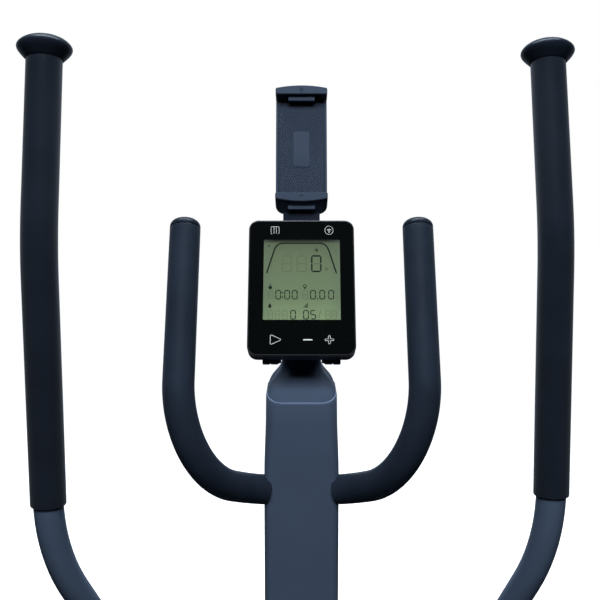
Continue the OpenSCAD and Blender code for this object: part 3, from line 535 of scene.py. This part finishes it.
# Levers: foam grip, cap and tube
TUBE_R, GRIP_R = 16, 19
GRIP_START, GRIP_BEND, LEVER_TOP = (271, 371.35, 1123), (271, 368, 1402), (271, 411, 1594)
GRIP_BEND_R = 320
LEVER_PATH = [(168.6, 444.9, 915.5), (222, 430, 940), (271, 372, 1069), GRIP_BEND, LEVER_TOP]
LEVER_BENDS = [0, 60, 225, GRIP_BEND_R, 0]
CAP_PROFILE = [
    (0, -1.2), (18.0, -1.2), (19.3, -1.0), (20.2, -0.2), (22.2, 2.0), (24.6, 4.6), (26.8, 7.2), (28.4, 9.6),
    (29.0, 11.6), (28.7, 13.4), (27.6, 15.2), (25.6, 17.2), (22.8, 19.2), (19.2, 21.0), (15.0, 22.4),
    (10.0, 23.4), (5.0, 23.9), (0, 24.0),
]
steel_path = spread(rounded_path(LEVER_PATH, LEVER_BENDS), 40)
grip_path = spread(rounded_path([GRIP_START, GRIP_BEND, LEVER_TOP], [0, GRIP_BEND_R, 0], 2), 12)
for side, word in SIDES:
    body = "lever_" + word
    piece("handlebar_tube_" + word, tube(steel_path, [TUBE_R] * len(steel_path), (1, 0, 0), 48), body,
          SLATE_PAINT, on_lever(side), ["handlebar_" + word])
    grip = piece("foam_grip_" + word, sleeve(grip_path, GRIP_R, TUBE_R + 0.05, 1.2, (1, 0, 0), 56), body,
                 FOAM, on_lever(side), ["grip_" + word], 50)
    piece("grip_end_" + word, revolve(CAP_PROFILE, 64), body, CAP_RUBBER,
          on_lever(side) @ move(*LEVER_TOP) @ turn(-lean_of(GRIP_BEND, LEVER_TOP)),
          ["grip_cap_" + word], 60)

# Fixed handlebar: two foam sleeves with round ends
FIXED_R, FIXED_TUBE_R = 17, 12.5
FIXED_BEND, FIXED_TOP = (129.5, 320, 1163), (129.5, 428, 1414)
INSIDE_MAST = 40
fixed_line = spread(rounded_path([(0, 440, 1112), (46, 440, 1112), FIXED_BEND, FIXED_TOP],
                                 [0, 80, 100, 0], 2.5), 10)
fixed_line = [p for p in fixed_line if p.x > INSIDE_MAST]
for side, word in SIDES:
    fixed = piece("fixed_foam_" + word, sleeve(fixed_line, FIXED_R, FIXED_TUBE_R + 0.05, 0.7, (0, 1, 1), 48),
                  "frame", SLEEVE_FOAM_PAINTED_LIGHT, on_side(side), ["fixed_grip_" + word], 50)
round_end = [(0, 0.15), (16.2, 0.15), (16.9, 0.7), (FIXED_R, 1.6)]
round_end += [(FIXED_R * math.cos(math.radians(a)) ** 0.8, 1.6 + 9.6 * math.sin(math.radians(a)))
              for a in range(10, 90, 10)] + [(0, 11.2)]
on_fixed_top = move(*FIXED_TOP) @ turn(-lean_of(FIXED_BEND, FIXED_TOP))
piece("fixed_round_ends",
      join(*[placed(revolve(round_end, 48), on_side(side) @ on_fixed_top) for side, _ in SIDES]),
      "frame", CAP_RUBBER, STILL, ["fixed_grip_caps"], 60)

# Mast cover: its top is slanted on the user's side and level behind, under a flared shoulder
MAST_W, MAST_D = 85.4, 95
TAPER_FROM = 1050
TOP_H = (MAST_TOP - MAST_FOOT) / math.cos(math.radians(MAST_LEAN))
SHOULDER_H = TOP_H + 8
SLOPE = math.tan(math.radians(23))


def top_of(y):
    """Height of the mast cover's top at the depth y from the mast's middle."""
    return min(TOP_H + (y + MAST_D / 2) * SLOPE, SHOULDER_H)


def mast_ring(height, inset=0.0, top=False):
    """Outline of the mast at a height above its foot, narrower and with a rounder user side near the top."""
    share = min(max((height - TAPER_FROM) / (TOP_H - TAPER_FROM), 0), 1)
    ease = share * share * (3 - 2 * share)
    width = MAST_W - 4.6 * ease
    user = (8 + 9 * ease, 10 + 9 * ease)
    flat = outline(width - 2 * inset, MAST_D - 2 * inset, user, (16, 16), 12, seam=0.7)
    return [(x, y, top_of(y) - (TOP_H - height) if top else height) for x, y in flat]


cover = [mast_ring(h) for h in (32, 300, 600, 900, 1000, TAPER_FROM, 1070, 1090, 1105, 1115)]
cover += [mast_ring(TOP_H - 1.5, 0, True), mast_ring(TOP_H - 0.9, 0.2, True),
          mast_ring(TOP_H - 0.4, 0.6, True), mast_ring(TOP_H, 1.3, True)]
piece("mast_cover", loft(cover), "frame", SLATE_PLASTIC, ON_MAST,
      ["mast_cover_rear", "mast_cover_front"], 50)

NECK_W, NECK_D, NECK_Y = 46, 55, 17
NECK_H = TOP_H + 37
base_ring = [Vector(p) for p in mast_ring(TOP_H, 1.3, True)]
neck_flat = outline(NECK_W, NECK_D, (15, 15), (15, 15), 12, seam=0.35)
head = [[p + Vector((0, 0, -0.5)) for p in base_ring]]
# Shares of the way in and of the way up, from the rim of the mast to its neck
SHOULDER = [(0, 0), (0.02, 0.04), (0.055, 0.10), (0.11, 0.175), (0.19, 0.265), (0.31, 0.37), (0.46, 0.47),
            (0.62, 0.57), (0.77, 0.67), (0.885, 0.77), (0.96, 0.88), (1.0, 1.0)]
for inwards, upwards in SHOULDER:
    ring = []
    for p, (nx, ny) in zip(base_ring, neck_flat):
        ring.append((p.x + (nx - p.x) * inwards, p.y + (ny + NECK_Y - p.y) * inwards,
                     p.z + (NECK_H - p.z) * upwards))
    head.append(ring)
neck_top = head[-1]
for up, user_y, front_y in ((14, -15, 42), (28, -17, 42), (44, -14, 38), (62, -6, 34), (80, 3, 30)):
    middle, thinner = (user_y + front_y) / 2, (front_y - user_y) / NECK_D
    head.append([(x * 0.98, middle + (y - NECK_Y) * thinner, NECK_H + up) for x, y, z in neck_top])
# Tabs under the console, the last one a backing behind the other three
tabs = []
for s in (-1, 1):
    for x0, x1, z0, y1 in ((22.6, 25.6, -1.6, 30), (25.8, 34.9, -2.8, 31.2), (35.3, 43.8, -2.8, 31.8),
                           (24.2, 43.0, -2.0, 30)):
        lo, hi = sorted((s * x0, s * x1))
        tabs.append(placed(block((lo, 24.4, z0), (hi, y1, 11), 1.0), ON_CONSOLE))
plate = placed(slab(74, 62, 6, 24.15, 42, 6, 0.4, 2.5), ON_CONSOLE)
piece("mast_neck", join(placed(loft(head), ON_MAST), plate), "frame", NECK_PLASTIC, STILL,
      ["mast_head"], 50)
piece("console_tabs", join(*tabs), "frame", SLATE_PAINT, STILL, (), 50)
# Thin bead along the user's edge of the mast top, in the lighter slate: a painted highlight on that edge
highlight_rim_path = [p + Vector((0, 0, 0.2)) for p in base_ring if p.y < -24]
highlight_rim_path.sort(key=lambda p: p.x)
piece("mast_neck_rim_painted_highlight", tube(highlight_rim_path, [0.5] * len(highlight_rim_path), (0, 1, 0), 10), "frame", RIM_PAINTED_HIGHLIGHT,
      ON_MAST, (), 60)
boss = [(0, -3), (12.5, -3), (12.5, 0.2), (11.6, 1.2), (9.8, 1.5), (6.4, 1.5), (5.6, 0.6), (5.4, -0.6),
        (0, -0.6)]
piece("mast_boss", revolve(boss, 48), "frame", SLATE_PLASTIC,
      ON_MAST @ move(0, -MAST_D / 2, 896) @ turn(90), (), 40)

# Console: shell, thin rim, glossy front, display with its marks, touch signs
CONSOLE_W, CONSOLE_L, CONSOLE_T, RIM = 120, 160, 24, 1.3
piece("console_shell", slab(CONSOLE_W, CONSOLE_L, 11, 8.1, CONSOLE_T, 0, 0.3, 4), "frame", BLACK_PLASTIC,
      ON_CONSOLE, ["console_back"])
piece("console_rim", slab(CONSOLE_W, CONSOLE_L, 11, 0.0, 8.0, 0, RIM, 0.3), "frame", BEZEL,
      ON_CONSOLE, ["console_bezel"])
piece("console_front", slab(CONSOLE_W - 2 * RIM, CONSOLE_L - 2 * RIM, 10, -0.25, 3, RIM, 0.4, 0.2), "frame",
      GLOSS_BLACK, ON_CONSOLE, ["console_glass"])
ON_FACE = ON_CONSOLE @ move(0, 0, 4.4)
piece("lcd_panel", slab(86.2, 95.0, 0.6, -0.33, 3, 36.2, 0.03, 0.2, 8, 0.35), "frame", LCD,
      ON_FACE, ["console_display"])
INK = (-0.40, -0.30)


def inked(ring):
    """Filled figure on the display, with the outline of ring."""
    return prism(ring, *INK)


def inked_line(points, width, closed=False):
    return strokes(points, width, *INK, closed)


def digit(x, z, width, height, line, segments):
    """Seven-segment digit with its lower left corner at x, z; segments is a string of letters a to g."""
    gap = line * 0.14
    half = height / 2
    ends = {
        "a": ((0, height), (width, height)), "b": ((width, height), (width, half)),
        "c": ((width, half), (width, 0)), "d": ((0, 0), (width, 0)), "e": ((0, half), (0, 0)),
        "f": ((0, height), (0, half)), "g": ((0, half), (width, half)),
    }
    shapes = []
    for name in segments:
        (x0, z0), (x1, z1) = ends[name]
        a, b = Vector((x + x0, z + z0)), Vector((x + x1, z + z1))
        u = (b - a).normalized()
        n = Vector((-u.y, u.x)) * line / 2
        a, b = a + u * (line * 0.5 + gap), b - u * (line * 0.5 + gap)
        tip = u * line * 0.45
        shapes.append(inked([a - tip, a + n, b + n, b + tip, b - n, a - n][::-1]))
    return join(*shapes)


def arch(share):
    """Line that rises, runs across the display and falls again."""
    half = [(39.3, 90.8), (31.0, 118.2), (29.6, 121.6), (27.2, 124.8), (24.0, 126.6), (20.2, 127.1)]
    return [(-x * share, z) for x, z in half] + [(x * share, z) for x, z in half[::-1]]


EIGHT, ZERO, FIVE = "abcdefg", "abcdef", "acdfg"
BIG_Z, BIG_W, BIG_H = 93.0, 10.2, 18.6
ROW_Z, LAST_ROW_Z = 60.4, 37.2
LIT, UNLIT = 1.15, 0.6
dark = [
    inked_line(arch(1.0), 1.7),
    digit(11.6, BIG_Z, BIG_W, BIG_H, 1.7, ZERO),
]
faint = [
    inked_line([(x, z - 1.9) for x, z in arch(0.93)], 0.5),
    digit(-21.6, BIG_Z, BIG_W, BIG_H, 1.2, EIGHT), digit(-5.0, BIG_Z, BIG_W, BIG_H, 1.2, EIGHT),
    digit(11.6, BIG_Z, BIG_W, BIG_H, 1.0, "g"),
]
dark += [digit(x, ROW_Z, 5.4, 9.8, LIT, ZERO) for x in (-28.7, -18.7, -10.3, 10.1, 20.4, 30.4)]
faint += [digit(x, ROW_Z, 5.2, 9.6, UNLIT, EIGHT) for x in (-37.0, 1.6)]
for x, z in ((-21.2, 67.6), (-21.2, 62.6), (17.9, 60.2)):
    dark.append(inked([(x - 0.7, z - 0.7), (x + 0.7, z - 0.7), (x + 0.7, z + 0.7), (x - 0.7, z + 0.7)]))
faint += [digit(x, LAST_ROW_Z, 5.0, 9.4, UNLIT, EIGHT) for x in (-37.0, -29.0, -21.0)]
faint += [digit(x, LAST_ROW_Z, 4.8, 9.4, UNLIT, EIGHT) for x in (26.8, 33.6)]
faint.append(inked_line([(18.8, 37.0), (21.4, 47.0)], 0.8))
dark += [digit(x, LAST_ROW_Z, 5.2, 9.6, LIT, figure)
         for x, figure in ((-12.0, ZERO), (2.3, ZERO), (10.3, FIVE))]
# Signs beside the figures: stopwatch, place mark, drop, speaker, sun and rising bars
SUN_X, SUN_Z = 17.0, 118.7
dark += [
    inked(circle(-35.0, 73.9, 2.1, 16)),
    inked([(-36.0, 77.0), (-34.0, 77.0), (-34.0, 78.0), (-36.0, 78.0)]),
    inked_line(circle(3.8, 75.4, 1.7, 16), 0.8, True),
    inked([(2.9, 73.4), (4.7, 73.4), (3.8, 71.2)][::-1]),
    inked(arc(-35.2, 52.0, 2.1, -160, -20, 10) + [(-34.3, 54.4), (-35.2, 55.4), (-36.1, 54.4)]),
    inked([(-37.9, 123.1), (-36.9, 123.1), (-35.9, 122.2), (-35.9, 125.2), (-36.9, 124.3), (-37.9, 124.3)]),
    inked(circle(SUN_X, SUN_Z, 1.3, 14)),
]
for k in range(4):
    x, top = 2.3 + 1.3 * k, 51.4 + 1.4 * k
    dark.append(inked([(x, 50.2), (x + 0.8, 50.2), (x + 0.8, top), (x, top)]))
for k in range(8):
    c, s = math.cos(math.radians(45 * k)), math.sin(math.radians(45 * k))
    dark.append(inked_line([(SUN_X + r * c, SUN_Z + r * s) for r in (2.0, 3.0)], 0.45))
# Faint signs: ring at the left, heart, square at the right, two rings over the big figures
faint += [
    inked_line(circle(-37.4, 116.1, 1.6, 16), 0.5, True),
    inked(arc(27.0, 95.9, 1.35, 0, 200, 8) + [(28.1, 92.9), (30.6, 95.9)]
          + arc(29.2, 95.9, 1.35, 0, 180, 8)[1:]),
    inked_line([(36.4, 115.2), (39.6, 115.2), (39.6, 118.0), (36.4, 118.0)], 0.5, True),
    inked_line(circle(-17.0, SUN_Z, 1.5, 14), 0.5, True),
    inked_line(circle(-0.7, SUN_Z, 1.5, 14), 0.5, True),
]
piece("lcd_figures", join(*dark), "frame", LCD_DARK, ON_FACE)
piece("lcd_faint_figures", join(*faint), "frame", LCD_FAINT, ON_FACE)

# Touch signs printed on the glossy front: list, wireless, play, minus and plus
PRINTED = (-0.34, -0.2)


def printed_line(points, width, closed=False):
    return strokes(points, width, *PRINTED, closed)


WIRELESS_X, PLUS_X, LOWER_Z = 31.4, 30.6, 13.3
list_frame = [(-33.7, 138.7), (-26.5, 138.7)]
for x, z, start in ((-26.6, 139.7, -90), (-26.6, 146.4, 0), (-33.6, 146.4, 90), (-33.6, 139.7, 180)):
    list_frame += arc(x, z, 1.0, start, start + 90, 4)
wireless_ring = [(WIRELESS_X + 4.7 * math.cos(math.radians(a)), 142.9 + 5.2 * math.sin(math.radians(a)))
                 for a in range(0, 360, 20)]
play = [(-33.4, 8.1), (-23.6, 12.6), (-23.1, 13.5), (-23.6, 14.4), (-33.2, 18.8), (-34.3, 18.0), (-34.4, 9.0)]
plus = []
for k in range(4):
    c, s = math.cos(math.radians(90 * k)), math.sin(math.radians(90 * k))
    plus += [(PLUS_X + u * c - v * s, LOWER_Z + (u * s + v * c) * 0.96)
             for u, v in ((1.1, -1.1), (4.3, -1.0), (4.9, 0), (4.3, 1.0))]
signs = [
    printed_line(list_frame, 0.42, True),
    printed_line([(-31.4, 138.9), (-31.4, 147.2)], 0.42),
    printed_line([(-28.8, 138.9), (-28.8, 147.2)], 0.42),
    printed_line(wireless_ring, 0.42, True),
    printed_line(arc(WIRELESS_X, 141.0, 1.6, 40, 140, 6), 0.55),
    printed_line(arc(WIRELESS_X, 141.0, 3.2, 40, 140, 8), 0.55),
    prism(circle(WIRELESS_X, 140.7, 0.7, 10), *PRINTED),
    printed_line(play, 0.5, True),
    printed_line([(1.8, LOWER_Z), (11.9, LOWER_Z)], 1.35),
    printed_line(plus, 0.42, True),
]
piece("touch_signs", join(*signs), "frame", PRINT, ON_FACE)

# Phone holder
holder_plate = join(
    slab(60.4, 132, 5, 18.6, 28, 8, 0.8, 2.4),
    slab(3.2, 128, 1.2, 16.2, 20, 10, 0.9, 0.2, 4, -28.6),
    slab(3.2, 128, 1.2, 16.2, 20, 10, 0.9, 0.2, 4, 28.6),
    block((-29.6, 17, 132), (29.6, 20, 139.6), 0.5),
)
JAW_HALF, JAW_CORNER, JAW_END = 30.5, 11, 29.4


def jaw_ring(x, side, middle_z):
    """Section of a jaw at x, drawn in all round as it nears an end of the jaw."""
    pull = 0.8 * (max(abs(x) - JAW_END, 0) / (JAW_HALF - JAW_END)) ** 2
    return [(x, y + (pull if y < 10 else -pull), z + (pull if z <= middle_z else -pull)) for y, z in side]


right_half = [6, 12, 17, 20.5, 23.5, 26, 28, JAW_END, 30.2, JAW_HALF]
lower_rings, upper_rings = [], []
for x in [-x for x in right_half[::-1]] + [0] + right_half:
    over = max(abs(x) - (JAW_HALF - JAW_CORNER), 0)
    lift = JAW_CORNER - math.sqrt(max(JAW_CORNER ** 2 - over * over, 0))
    smile = 3.6 * (x / JAW_HALF) ** 2
    side = ((0.2, 10.6 + smile), (-0.3, 11.4 + smile), (-0.3, 20.2), (0.8, 21), (9, 21), (18, 21), (28, 21),
            (28, 7 + 0.3 * lift), (25, 1.6 + lift), (21, 0.3 + lift * 0.95),
            (4, 9.4 + max(smile, lift * 0.3)))
    lower_rings.append(jaw_ring(x, side, 15))
    arched = 3.2 * (x / JAW_HALF) ** 2
    side = ((0.4, 140.6), (-0.2, 141.3), (-0.2, 150.4 - arched), (0.9, 151.4 - arched), (24, 151.2 - arched),
            (28, 148.5 - arched), (28, 142), (26.5, 140.6), (14, 140.6))
    upper_rings.append(jaw_ring(x, side, 145))
piece("holder_plate", holder_plate, "frame", HOLDER_PAINTED_SHADE_PLASTIC, ON_HOLDER, ["holder_back"], 30)
piece("holder_lower_jaw", loft(lower_rings), "frame", HOLDER_PAINTED_SHADE_PLASTIC, ON_HOLDER, (), 30)
stem = block((-20, 21.4, 78), (20, 24.6, 141), 0.5)
piece("holder_upper_jaw", join(loft(upper_rings), stem), "jaw", HOLDER_PAINTED_SHADE_PLASTIC, ON_HOLDER,
      ["upper_jaw"], 30)

# Rubber pad: short ridges on slanted lines, inside the pad and outside its plain patch
PAD_HALF, PAD_LOW, PAD_HIGH = 26.2, 23.6, 131.0
PATCH_HALF, PATCH_LOW, PATCH_HIGH = 9.6, 56.1, 99.9
PITCH, RIDGE_L, RIDGE_GAP, RIDGE_HALF, RIDGE_TIP = 3.1, 1.9, 0.22, 0.62, 0.3
FOOT_Y, CREST_Y = 15.9, 15.35


def ridge(start, end, c):
    """Ridge with a sharp crest on the line z - x = c, between two values of x."""
    w, tip = RIDGE_HALF, RIDGE_TIP
    points = [(start - w, FOOT_Y, start + c + w), (start + w, FOOT_Y, start + c - w),
              (end + w, FOOT_Y, end + c - w), (end - w, FOOT_Y, end + c + w),
              (start + tip, CREST_Y, start + c + tip), (end - tip, CREST_Y, end + c - tip)]
    return [Vector(p) for p in points], [[0, 1, 2, 3], [0, 4, 1], [3, 2, 5], [1, 4, 5, 2], [0, 3, 5, 4]]


ridges = []
c = PAD_LOW - PAD_HALF
while c < PAD_HIGH + PAD_HALF:
    first, last = max(-PAD_HALF, PAD_LOW - c), min(PAD_HALF, PAD_HIGH - c)
    patch_first, patch_last = max(-PATCH_HALF, PATCH_LOW - c), min(PATCH_HALF, PATCH_HIGH - c)
    free = [(first, last)] if patch_last <= patch_first else [(first, patch_first), (patch_last, last)]
    for start, end in free:
        if end - start > 1.5:
            count = max(1, round((end - start) / RIDGE_L))
            for k in range(count):
                ridges.append(ridge(start + (end - start) * k / count + RIDGE_GAP,
                                    start + (end - start) * (k + 1) / count - RIDGE_GAP, c))
    c += PITCH
piece("holder_knurled_pad", slab(54, 110, 1.5, 15.8, 18.7, 22.2, 0.3, 0.2), "frame", PAD, ON_HOLDER,
      ["holder_pad"], 20)
# Ridges in the lighter rubber, a painted highlight against the darker pad
piece("holder_ridges_painted_highlight", join(*ridges), "frame", KNURL_PAINTED_HIGHLIGHT, ON_HOLDER, (), 20)
piece("holder_plain_patch", slab(2 * PATCH_HALF, 43.6, 1.6, 15.1, 17, 56.2, 0.35, 0.2), "frame",
      HOLDER_PAINTED_SHADE_PLASTIC, ON_HOLDER)

# Two ledges of the holder and the small marks on its jaws
piece("holder_lower_bar", block((-15.9, 8.0, 2.9), (15.9, 20, 7.9), 0.7), "frame", HOLDER_PAINTED_SHADE_PLASTIC,
      ON_HOLDER)
piece("holder_upper_bar", block((-15.7, 5.5, 134.2), (15.7, 12, 141.0), 0.7), "jaw", HOLDER_PAINTED_SHADE_PLASTIC,
      ON_HOLDER)
MARK = (-0.45, -0.1)
piece("holder_upper_mark",
      join(strokes([(-1.8, 145.6), (1.8, 145.6), (0, 148.6)], 0.5, *MARK, True),
           strokes([(-1.9, 144.2), (1.9, 144.2)], 0.7, *MARK)), "jaw", PAD, ON_HOLDER)
piece("holder_lower_mark", strokes([(-1.9, 17.4), (1.9, 17.4)], 1.3, -0.5, -0.2), "frame", PAD,
      ON_HOLDER)

# Drive housing in two rounded halves
HOUSING_X = 58
HOUSING_EDGE = 10


def hull_ring(inset):
    """Outline round the crank axis and the flywheel axis, in Y and Z."""
    rise, run = FLYWHEEL_Z - CRANK_Z, FLYWHEEL_Y - CRANK_Y
    big, small = 226 - inset, 136 - inset
    heading = math.atan2(rise, run)
    wrap = math.acos((big - small) / math.hypot(rise, run))
    return (round_part(CRANK_Y, CRANK_Z, big, heading + wrap, heading + 2 * math.pi - wrap)
            + round_part(FLYWHEEL_Y, FLYWHEEL_Z, small, heading - wrap, heading + wrap))


def round_part(y, z, radius, start, end):
    """Arc of the housing's outline, its two angles in radians."""
    return arc(y, z, radius, math.degrees(start), math.degrees(end), 72)


levels = [(0.12, 1.2), (0.4, 0.5), (1.2, 0), (HOUSING_X - HOUSING_EDGE, 0)]
levels += [(HOUSING_X - HOUSING_EDGE * (1 - math.sin(math.radians(a))),
            HOUSING_EDGE * (1 - math.cos(math.radians(a)))) for a in (18, 36, 54, 72, 90)]
# A shallow groove follows the edge of each side face
levels += [(HOUSING_X, 13.5), (HOUSING_X - 0.8, 14.5), (HOUSING_X - 0.8, 19.5), (HOUSING_X, 20.5)]
housing_half = loft([[(x, y, z) for y, z in hull_ring(inset)] for x, inset in levels])
for side, word in SIDES:
    piece("housing_shell_" + word, housing_half, "frame", SLATE_PLASTIC, on_side(side),
          ["housing_" + word], 30)

# Foot trays and their mats with raised treads
TRAY_X, TRAY_Y, TRAY_W, TRAY_L, TRAY_CORNER = 152, -566, 140, 370, 38


def tray_ring(inset, z):
    """Outline of a foot tray, smaller by inset all round."""
    r = TRAY_CORNER - inset
    return [(TRAY_X + x, TRAY_Y + y, z)
            for x, y in outline(TRAY_W - 2 * inset, TRAY_L - 2 * inset, (r, r), (r, r), 10)]


tray = loft([tray_ring(inset, z) for z, inset in (
    (20.2, 9), (20.6, 6.5), (22.5, 4), (30, 1.2), (40, 0), (41.4, 0.4), (42.1, 1.6), (42.0, 4.6), (41.0, 6.4),
    (34, 7.2), (28.2, 8))])
mat = [loft([tray_ring(8 + inset, z) for z, inset in ((28.2, 0.6), (28.6, 0), (32.0, 0), (32.6, 0.6))])]
for row in range(-13, 14):
    y = TRAY_Y + row * 12.4
    half = 52 if abs(row) < 12 else 44 if abs(row) == 12 else 32
    for k, (a, b) in enumerate(((-half, -half / 3 - 2), (-half / 3 + 2, half / 3 - 2), (half / 3 + 2, half))):
        shift = 3.1 if (row + k) % 2 else -1.5
        mat.append(block((TRAY_X + a, y - 2.0 + shift, 32.4), (TRAY_X + b, y + 2.0 + shift, 34.1), 0.7))
for side, word in SIDES:
    piece("foot_tray_" + word, tray, "bar_" + word, BLACK_PLASTIC, on_bar(side),
          ["pedal_" + word], 40)
    piece("foot_mat_" + word, join(*mat), "bar_" + word, RUBBER, on_bar(side),
          ["pedal_pad_" + word], 40)


# Crank discs: dished plastic with a hub cap
def crank_pair(profile, steps):
    """The same turned solid on both ends of the crank's axle."""
    turned = revolve(profile, steps)
    on_axle = move(0, CRANK_Y, CRANK_Z) @ turn(90, "Y")
    return join(*[placed(turned, on_side(side) @ on_axle) for side, _ in SIDES])


disc = [(0, 69), (214, 69), (219, 70), (220, 72), (219.4, 74.6), (217, 76.4), (212, 77), (199, 77),
        (196.5, 76.4), (194, 74.6), (150, 74.2), (60, 74.2), (50, 75), (47, 76.6), (44, 77), (0, 77)]
hub_cap = [(0, 76), (30, 76), (30.4, 77.6), (29, 79.6), (24, 80.6), (10, 81.2), (0, 81.3)]
piece("crank_disc_pair", crank_pair(disc, 128), "crank", SLATE_PLASTIC, STILL,
      ["crank_discs"], 25)
piece("crank_hub_caps", crank_pair(hub_cap, 64), "crank", BLACK_PLASTIC, STILL, (), 30)

# Nodes that keep their CAD shape
dress("base_beam cross_feet lever_arm_left lever_arm_right pedal_bar_left pedal_bar_right", SLATE_PAINT, 1.2)
dress("mast_boot", SLATE_PLASTIC, 1.5)
# The holder's neck takes the darkened slate as painted shade
dress("holder_neck", HOLDER_NECK_PAINTED_SHADE, 1.5)
dress("front_end_caps rear_end_caps axle_caps", BLACK_PLASTIC, 1.2)
dress("transport_wheel_left transport_wheel_right", RUBBER, 1.0)
dress("pivot_axle crank_pin_left crank_pin_right crank_axle crank_arms flywheel_axle drive_frame", STEEL, 0.6)
dress("fixed_handlebar mast_tube", STEEL, 0.3)
dress("flywheel", IRON, 0.8)
dress("frame_bolts housing_screws console_screws handlebar_bolts_left handlebar_bolts_right", ZINC, 0.4)
dress("drive_bearings", ZINC, 0.3)
dress("drive_pulley brake_arm brake_motor", BLACK_PLASTIC, 0.6)
dress("drive_belt", RUBBER, 0.3)
dress("circuit_board", BOARD, 0.2)

# ---------------------------------------------------------------- stage, light and camera

# The floor glows so that it shows as white as the background, and it lights nothing itself
bpy.ops.mesh.primitive_circle_add(vertices=96, radius=40, fill_type="NGON", location=(0, 0, -0.0005))
floor = bpy.context.object
floor.name = "floor"
floor_finish = material("pale_floor", (0.4, 0.41, 0.42), 0.8, vary=0.01, mottle=0.6, grain=30, specular=0.1)
floor_shader = floor_finish.node_tree.nodes["Principled BSDF"]
floor_shader.inputs["Emission Color"].default_value = (0.98, 0.99, 1.0, 1)
floor_shader.inputs["Emission Strength"].default_value = 0.97
floor.data.materials.append(floor_finish)
floor.visible_diffuse = False
floor.visible_glossy = False


def area_light(name, place, target, size, power, glossy=True, colour=(1, 1, 1)):
    data = bpy.data.lights.new(name, "AREA")
    data.shape = "RECTANGLE"
    data.size, data.size_y = size
    data.energy = power
    data.color = colour
    lamp = bpy.data.objects.new(name, data)
    scene.collection.objects.link(lamp)
    lamp.location = place
    lamp.rotation_mode = "QUATERNION"
    lamp.rotation_quaternion = (Vector(target) - Vector(place)).to_track_quat("-Z", "Y")
    lamp.visible_glossy = glossy
    lamp.visible_camera = False


area_light("front", (0.0, -2.0, 3.65), (0, 0.45, 1.1), (2.6, 1.4), 226, glossy=False)
area_light("above", (0.0, 0.7, 3.3), (0, 0.42, 1.4), (2.0, 0.6), 42, colour=(0.72, 0.85, 1.0))
area_light("behind", (0.0, 4.2, 3.2), (0, 0.4, 0.8), (4.0, 1.6), 260, glossy=False, colour=(0.86, 0.93, 1.0))

# World: white for the camera. As a light it is bright ahead of the camera, and dim behind it and from below
world = bpy.data.worlds.new("studio")
scene.world = world
world.use_nodes = True
sky = world.node_tree
sky.nodes.clear()
direction = sky.nodes.new("ShaderNodeTexCoord")
axes = sky.nodes.new("ShaderNodeSeparateXYZ")
sky.links.new(direction.outputs["Generated"], axes.inputs["Vector"])
ahead = to_range(sky, axes.outputs["Y"], 0.02, 0.62, 0.1, 0.95)
above = to_range(sky, axes.outputs["Z"], 0.06, 1.0, -0.5, 0.05)
strength = sky.nodes.new("ShaderNodeMath")
strength.operation = "MULTIPLY"
sky.links.new(ahead, strength.inputs[0])
sky.links.new(above, strength.inputs[1])
studio = node_of(sky, "ShaderNodeBackground", Color=(0.66, 0.8, 1.0, 1))
sky.links.new(strength.outputs["Value"], studio.inputs["Strength"])
plain = node_of(sky, "ShaderNodeBackground", Color=(1, 1, 1, 1), Strength=1.0)
ray = sky.nodes.new("ShaderNodeLightPath")
choose = sky.nodes.new("ShaderNodeMixShader")
sky.links.new(ray.outputs["Is Camera Ray"], choose.inputs["Fac"])
sky.links.new(studio.outputs["Background"], choose.inputs[1])
sky.links.new(plain.outputs["Background"], choose.inputs[2])
out = sky.nodes.new("ShaderNodeOutputWorld")
sky.links.new(choose.outputs["Shader"], out.inputs["Surface"])
scene.view_settings.view_transform = "Standard"

CAMERA_PITCH = 5
camera_data = bpy.data.cameras.new("camera")
camera_data.lens = 52.8
camera_data.sensor_width = 36
camera = bpy.data.objects.new("camera", camera_data)
scene.collection.objects.link(camera)
camera.location = (-0.0017, -0.555, 1.42)
camera.rotation_euler = (math.radians(90 - CAMERA_PITCH), 0, 0)
scene.camera = camera
